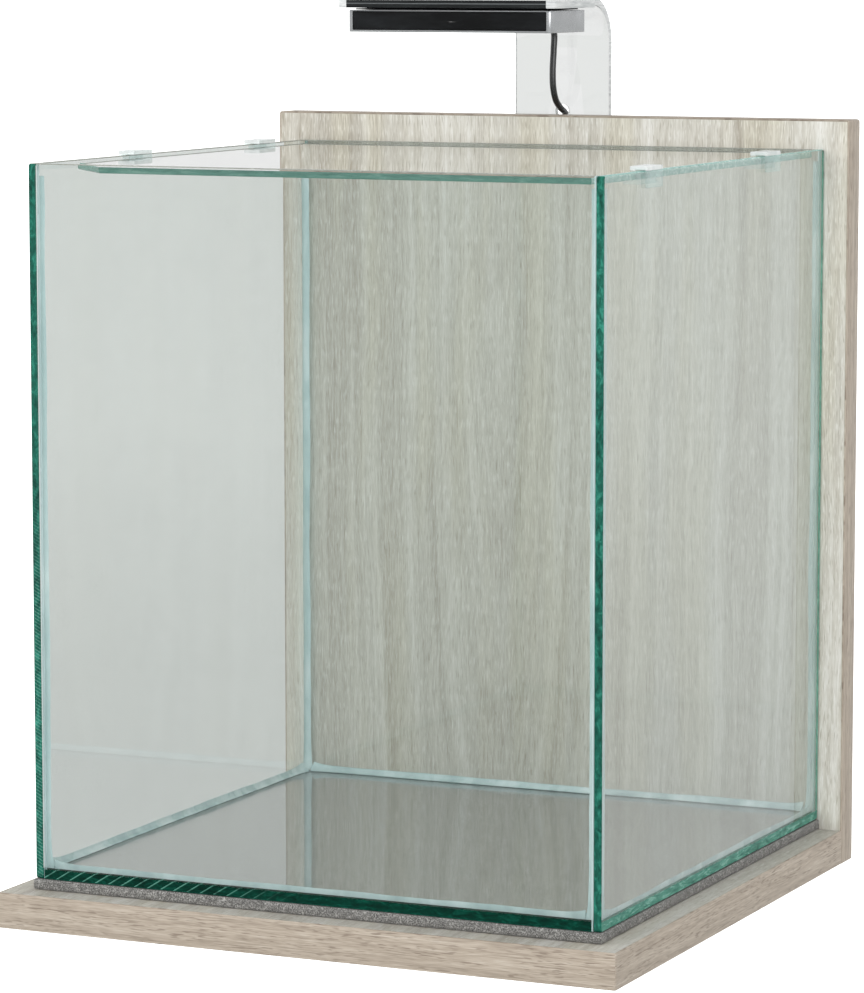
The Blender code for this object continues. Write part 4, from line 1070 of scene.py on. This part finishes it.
def bead(name, node, axis, into, seed):
    """A tooled bead of silicone in a corner: a hollow fillet that wavers, with swollen ends."""
    low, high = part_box(node)
    along = AXES[axis]
    first, second = [AXES[letter] for letter in "XYZ" if letter != axis]
    corner = [low[first] if into[0] > 0 else high[first], low[second] if into[1] > 0 else high[second]]
    legs = [high[first] - low[first], high[second] - low[second]]
    length = high[along] - low[along]
    count = max(12, round(length / 0.002))
    arc = 7
    shape = bmesh.new()
    rows = []
    for step in range(count + 1):
        place = low[along] + length * step / count
        ends = min(step, count - step) / count * length
        if axis == "Z":
            ends = place - low.z
        swell = math.exp(-ends / 0.005)
        width = 0.68 + 0.13 * wobble(seed, place * 22, 0, 0) + 0.05 * wobble(seed + 1, place * 90, 0, 0)
        width = min(1.0, width + 0.4 * swell)
        other = 0.62 + 0.13 * wobble(seed + 2, place * 18, 0, 0) + 0.05 * wobble(seed + 3, place * 80, 0, 0)
        other = min(1.0, other + 0.4 * swell)
        hollow = 1 - 0.75 * swell
        row = []
        for number in range(arc + 1):
            turn = math.radians(90) * number / arc
            curved = Vector((1 - math.sin(turn), 1 - math.cos(turn)))
            straight = Vector((1 - number / arc, number / arc))
            point = straight.lerp(curved, hollow)
            row.append(across_from(axis, corner[0] + into[0] * legs[0] * width * point.x,
                                   corner[1] + into[1] * legs[1] * other * point.y, place))
        row.append(across_from(axis, *corner, place))
        rows.append([shape.verts.new(spot) for spot in row])
    skin(shape, rows)
    finish_mesh(name, shape, [clear_silicone], "tank", [node], 40)


def silicone():
    seed = 1
    for end, into_y in (("front", 1), ("rear", -1)):
        for side, into_x in (("left", 1), ("right", -1)):
            bead(f"bead_{end}_{side}", f"silicone_{end}_{side}", "Z", (into_x, into_y), seed)
            seed += 4
        bead(f"bead_floor_{end}", f"silicone_bottom_{end}", "X", (into_y, 1), seed)
        seed += 4
    for side, into_x in (("left", 1), ("right", -1)):
        bead(f"bead_floor_{side}", f"silicone_bottom_{side}", "Y", (into_x, 1), seed)
        seed += 4


def clips():
    for side in ("left", "right"):
        for end in ("front", "rear"):
            node = f"cover_clip_{side}_{end}"
            paint(node, clip_plastic)
            soften(node, 0.0007)


panes()
silicone()
clips()

# ---- lamp


def arm_sheet():
    """The T-shaped acrylic sheet: drawn flat with its holes, given its thickness, then bent."""
    low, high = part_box("lamp_arm")
    body_low, body_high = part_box("lamp_housing")
    thick = ARM_THICKNESS
    middle_x = (low.x + high.x) / 2
    head_side = (high.x - low.x) / 2
    head_length = body_high.y - body_low.y + 2 * (body_low.y - low.y)
    strip_side = 0.027
    bend_radius = ARM_BEND_RADIUS
    bend_start = high.y - thick - bend_radius - low.y
    bend_length = (bend_radius + thick / 2) * math.pi / 2
    drop = high.z - thick - bend_radius - low.z
    end = bend_start + bend_length + drop
    corner, fillet = 0.003, 0.004

    def arc(x, y, radius, start, turn=90, steps=6):
        angles = [math.radians(start + turn * step / steps) for step in range(steps + 1)]
        return [(x + radius * math.cos(a), y + radius * math.sin(a)) for a in angles]

    side = arc(head_side - corner, corner, corner, -90)
    side += arc(head_side - corner, head_length - corner, corner, 0)
    side += arc(strip_side + fillet, head_length + fillet, fillet, 270, -90)
    side += arc(strip_side - corner, end - corner, corner, 0)
    loops = [side + [(-x, y) for x, y in reversed(side)]]

    def on_sheet(z):
        """How far along the flat sheet a height on the upright lies."""
        return bend_start + bend_length + (high.z - thick - bend_radius - z)

    gland_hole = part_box("back_panel")[1].z + 0.0006 + GAP + 0.0018
    loops.append(arc(0, on_sheet(gland_hole), 0.0037, 0, 360, 32)[:-1])
    for side_name in ("left", "right"):
        washer_low, washer_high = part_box(f"arm_washer_{side_name}")
        washer = (washer_low + washer_high) / 2
        loops.append(arc(washer.x - middle_x, on_sheet(washer.z), 0.0023, 0, 360, 24)[:-1])

    shape = bmesh.new()
    edges = []
    for loop in loops:
        corners = [shape.verts.new((x, y, 0)) for x, y in loop]
        edges += [shape.edges.new((corners[i], corners[(i + 1) % len(corners)])) for i in range(len(corners))]
    bmesh.ops.triangle_fill(shape, use_beauty=True, use_dissolve=False, edges=edges)
    cuts = [((0, bend_start + bend_length * step / 24, 0), (0, 1, 0)) for step in range(25)]
    tape_front, tape_rear = body_low.y + 0.0005 - low.y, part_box("lamp_tape")[1].y - low.y
    # The black under the sheet runs past the tape to 1 mm inside the lamp's sides: the tape's own black,
    # widened as a painted dark reflection.
    dark_band_side = body_high.x - 0.001 - middle_x
    cuts += [((0, y, 0), (0, 1, 0)) for y in (tape_front, tape_rear)]
    cuts += [((x, 0, 0), (1, 0, 0)) for x in (-dark_band_side, dark_band_side)]
    for place, normal in cuts:
        split_at(shape, place, normal)
    bottom = shape.faces[:]
    raised = bmesh.ops.extrude_face_region(shape, geom=bottom, use_keep_orig=True)
    moved = [item for item in raised["geom"] if isinstance(item, bmesh.types.BMVert)]
    bmesh.ops.translate(shape, verts=moved, vec=(0, 0, thick))
    bmesh.ops.recalc_face_normals(shape, faces=shape.faces[:])
    rims = [edge for edge in shape.edges if abs(edge.verts[0].co.z - edge.verts[1].co.z) < 0.000001]
    round_sharp(shape, rims, 0.0003)
    for face in shape.faces:
        spot = face.calc_center_median()
        in_dark_band = abs(spot.x) < dark_band_side and tape_front < spot.y < tape_rear
        on_end = abs(spot.x) > strip_side - 0.0005 or spot.y < 0.0005 or spot.y > end - 0.0005
        # Painted dark reflection: the underside is black over the lamp's width, wider than the tape itself.
        if in_dark_band and abs(spot.z) < 0.000001:
            face.material_index = 1
        # The front edge over the lamp is painted black: a painted reflection of the tape inside the sheet.
        elif spot.y < 0.0005 and abs(spot.x) < dark_band_side and abs(face.normal.z) < 0.9:
            face.material_index = 3
        elif on_end and abs(face.normal.z) < 0.9:
            face.material_index = 2
    for vert in shape.verts:
        across, along, rise = vert.co
        if along <= bend_start:
            vert.co = (middle_x + across, low.y + along, high.z - thick + rise)
            continue
        turn = min(1.0, (along - bend_start) / bend_length) * math.pi / 2
        past = max(0.0, along - bend_start - bend_length)
        radius = bend_radius + rise
        vert.co = (middle_x + across, low.y + bend_start + radius * math.sin(turn),
                   high.z - thick - bend_radius + radius * math.cos(turn) - past)
    finish_mesh("lamp_arm_sheet", shape, [acrylic, tape_black, arm_edge, arm_front], "stand", ["lamp_arm"],
                32)


def lamp_body():
    """The silver housing: rounded upright corners, a recess for the front panel and a pocket for the lens."""
    low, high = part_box("lamp_housing")
    middle = (low + high) / 2
    outline = ring_outline((high.x - low.x) / 2, (high.y - low.y) / 2, 0.002, 10)
    shape = bmesh.new()
    soft = 0.0003
    rings = ((soft, low.z), (soft * 0.3, low.z + soft * 0.3), (0, low.z + soft), (0, high.z - soft),
             (soft * 0.3, high.z - soft * 0.3), (soft, high.z))
    skin(shape, [[shape.verts.new((middle.x + p.x, middle.y + p.y, z)) for p in inset(outline, inwards)]
                 for inwards, z in rings])
    piece = finish_mesh("lamp_body", shape, [silver], "stand", ["lamp_housing"], 30)
    reach = 0.01
    front_low, front_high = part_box("lamp_front_panel")
    lens_low, lens_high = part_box("lamp_lens")
    board_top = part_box("led_board")[1].z
    cut_front = rounded_box(
        (front_low.x - GAP, low.y - reach, front_low.z - GAP),
        (front_high.x + GAP, front_high.y + GAP, front_high.z + GAP), 0.0005, 3)
    pocket = cuboid((lens_low.x - GAP, lens_low.y - GAP, low.z - reach),
                    (lens_high.x + GAP, lens_high.y + GAP, lens_high.z + GAP))
    ledge = 0.0015
    cavity = cuboid((lens_low.x - GAP + ledge, lens_low.y - GAP + ledge, low.z - reach),
                    (lens_high.x + GAP - ledge, lens_high.y + GAP - ledge, board_top + GAP))
    hole = lathe([(0, 0), (0.0029, 0), (0.0029, 0.015), (0, 0.015)],
                 (middle.x, high.y + reach, middle.z), (0, -1, 0), 32)
    carve(piece, [cut_front, pocket, cavity, hole])


def lamp_parts():
    low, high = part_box("lamp_front_panel")
    shape = rounded_box(low, high, 0.0003, 3)
    finish_mesh("lamp_front_glass", shape, [lamp_black], "stand", ["lamp_front_panel"])
    low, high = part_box("lamp_lens")
    shape = rounded_box(low, high, 0.0003, 3)
    finish_mesh("lamp_diffuser", shape, [lens], "stand", ["lamp_lens"])
    paint("lamp_tape", tape_black)
    paint("led_board", board_white)


arm_sheet()
lamp_body()
lamp_parts()

# ---- studio


def area_light(name, place, target, width, height, power, for_gloss=False):
    """A soft light, which either lights the object or shows in its gloss."""
    lamp = bpy.data.lights.new(name, "AREA")
    lamp.shape = "RECTANGLE"
    lamp.size = width
    lamp.size_y = height
    lamp.energy = power
    made = link(bpy.data.objects.new(name, lamp))
    made.location = place
    made.rotation_mode = "QUATERNION"
    made.rotation_quaternion = (Vector(target) - Vector(place)).to_track_quat("-Z", "Y")
    made.visible_glossy = for_gloss
    made.visible_diffuse = not for_gloss
    made.visible_transmission = False


def floor_material():
    """White paper that glows evenly: burnt out to the camera, and grey near the object in glass and metal."""
    t = Tree("floor_paper")
    away = t.add("ShaderNodeVectorMath", {"operation": "LENGTH"}, Vector=t.coordinates).outputs["Value"]
    cloud = t.noise(t.coordinates, 3.0, 2.0)
    near = t.mix(cloud, srgb(225, 226, 225), srgb(222, 223, 222))
    far = t.mix(cloud, srgb(238, 239, 238), srgb(236, 237, 236))
    paper = t.mix(t.between(away, 0.3, 2.6), near, far)
    seen = t.add("ShaderNodeLightPath").outputs["Is Camera Ray"]
    t.set(Base_Color=(0.0, 0.0, 0.0, 1.0), Roughness=0.9, Specular_IOR_Level=0.0, Emission_Color=paper,
          Emission_Strength=t.math("MULTIPLY_ADD", seen, 1.2, 1.0))
    t.material.cycles.emission_sampling = "NONE"
    return t.material


def studio():
    shape = bmesh.new()
    bmesh.ops.create_grid(shape, x_segments=1, y_segments=1, size=60)
    object_from("floor", shape, [floor_material()])
    world = bpy.data.worlds.new("studio")
    world.use_nodes = True
    background = world.node_tree.nodes["Background"]
    background.inputs["Color"].default_value = (1.0, 1.0, 1.0, 1.0)
    background.inputs["Strength"].default_value = 0.9
    bpy.context.scene.world = world
    middle = (cad_low + cad_high) / 2
    area_light("key_light", (-0.5, -3.2, 1.1), middle, 2.0, 1.4, 42)
    area_light("side_light", (3.0, -0.6, 1.2), middle, 1.4, 1.4, 9)
    area_light("gloss_light", (2.2, -1.9, 1.1), middle, 2.6, 1.8, 48, for_gloss=True)
    area_light("arm_light", (-1.163, -2.619, 0.335), (0, 0.16, 0.415), 0.02, 0.085, 0.12, for_gloss=True)
    bpy.context.scene.view_settings.view_transform = "Standard"


studio()
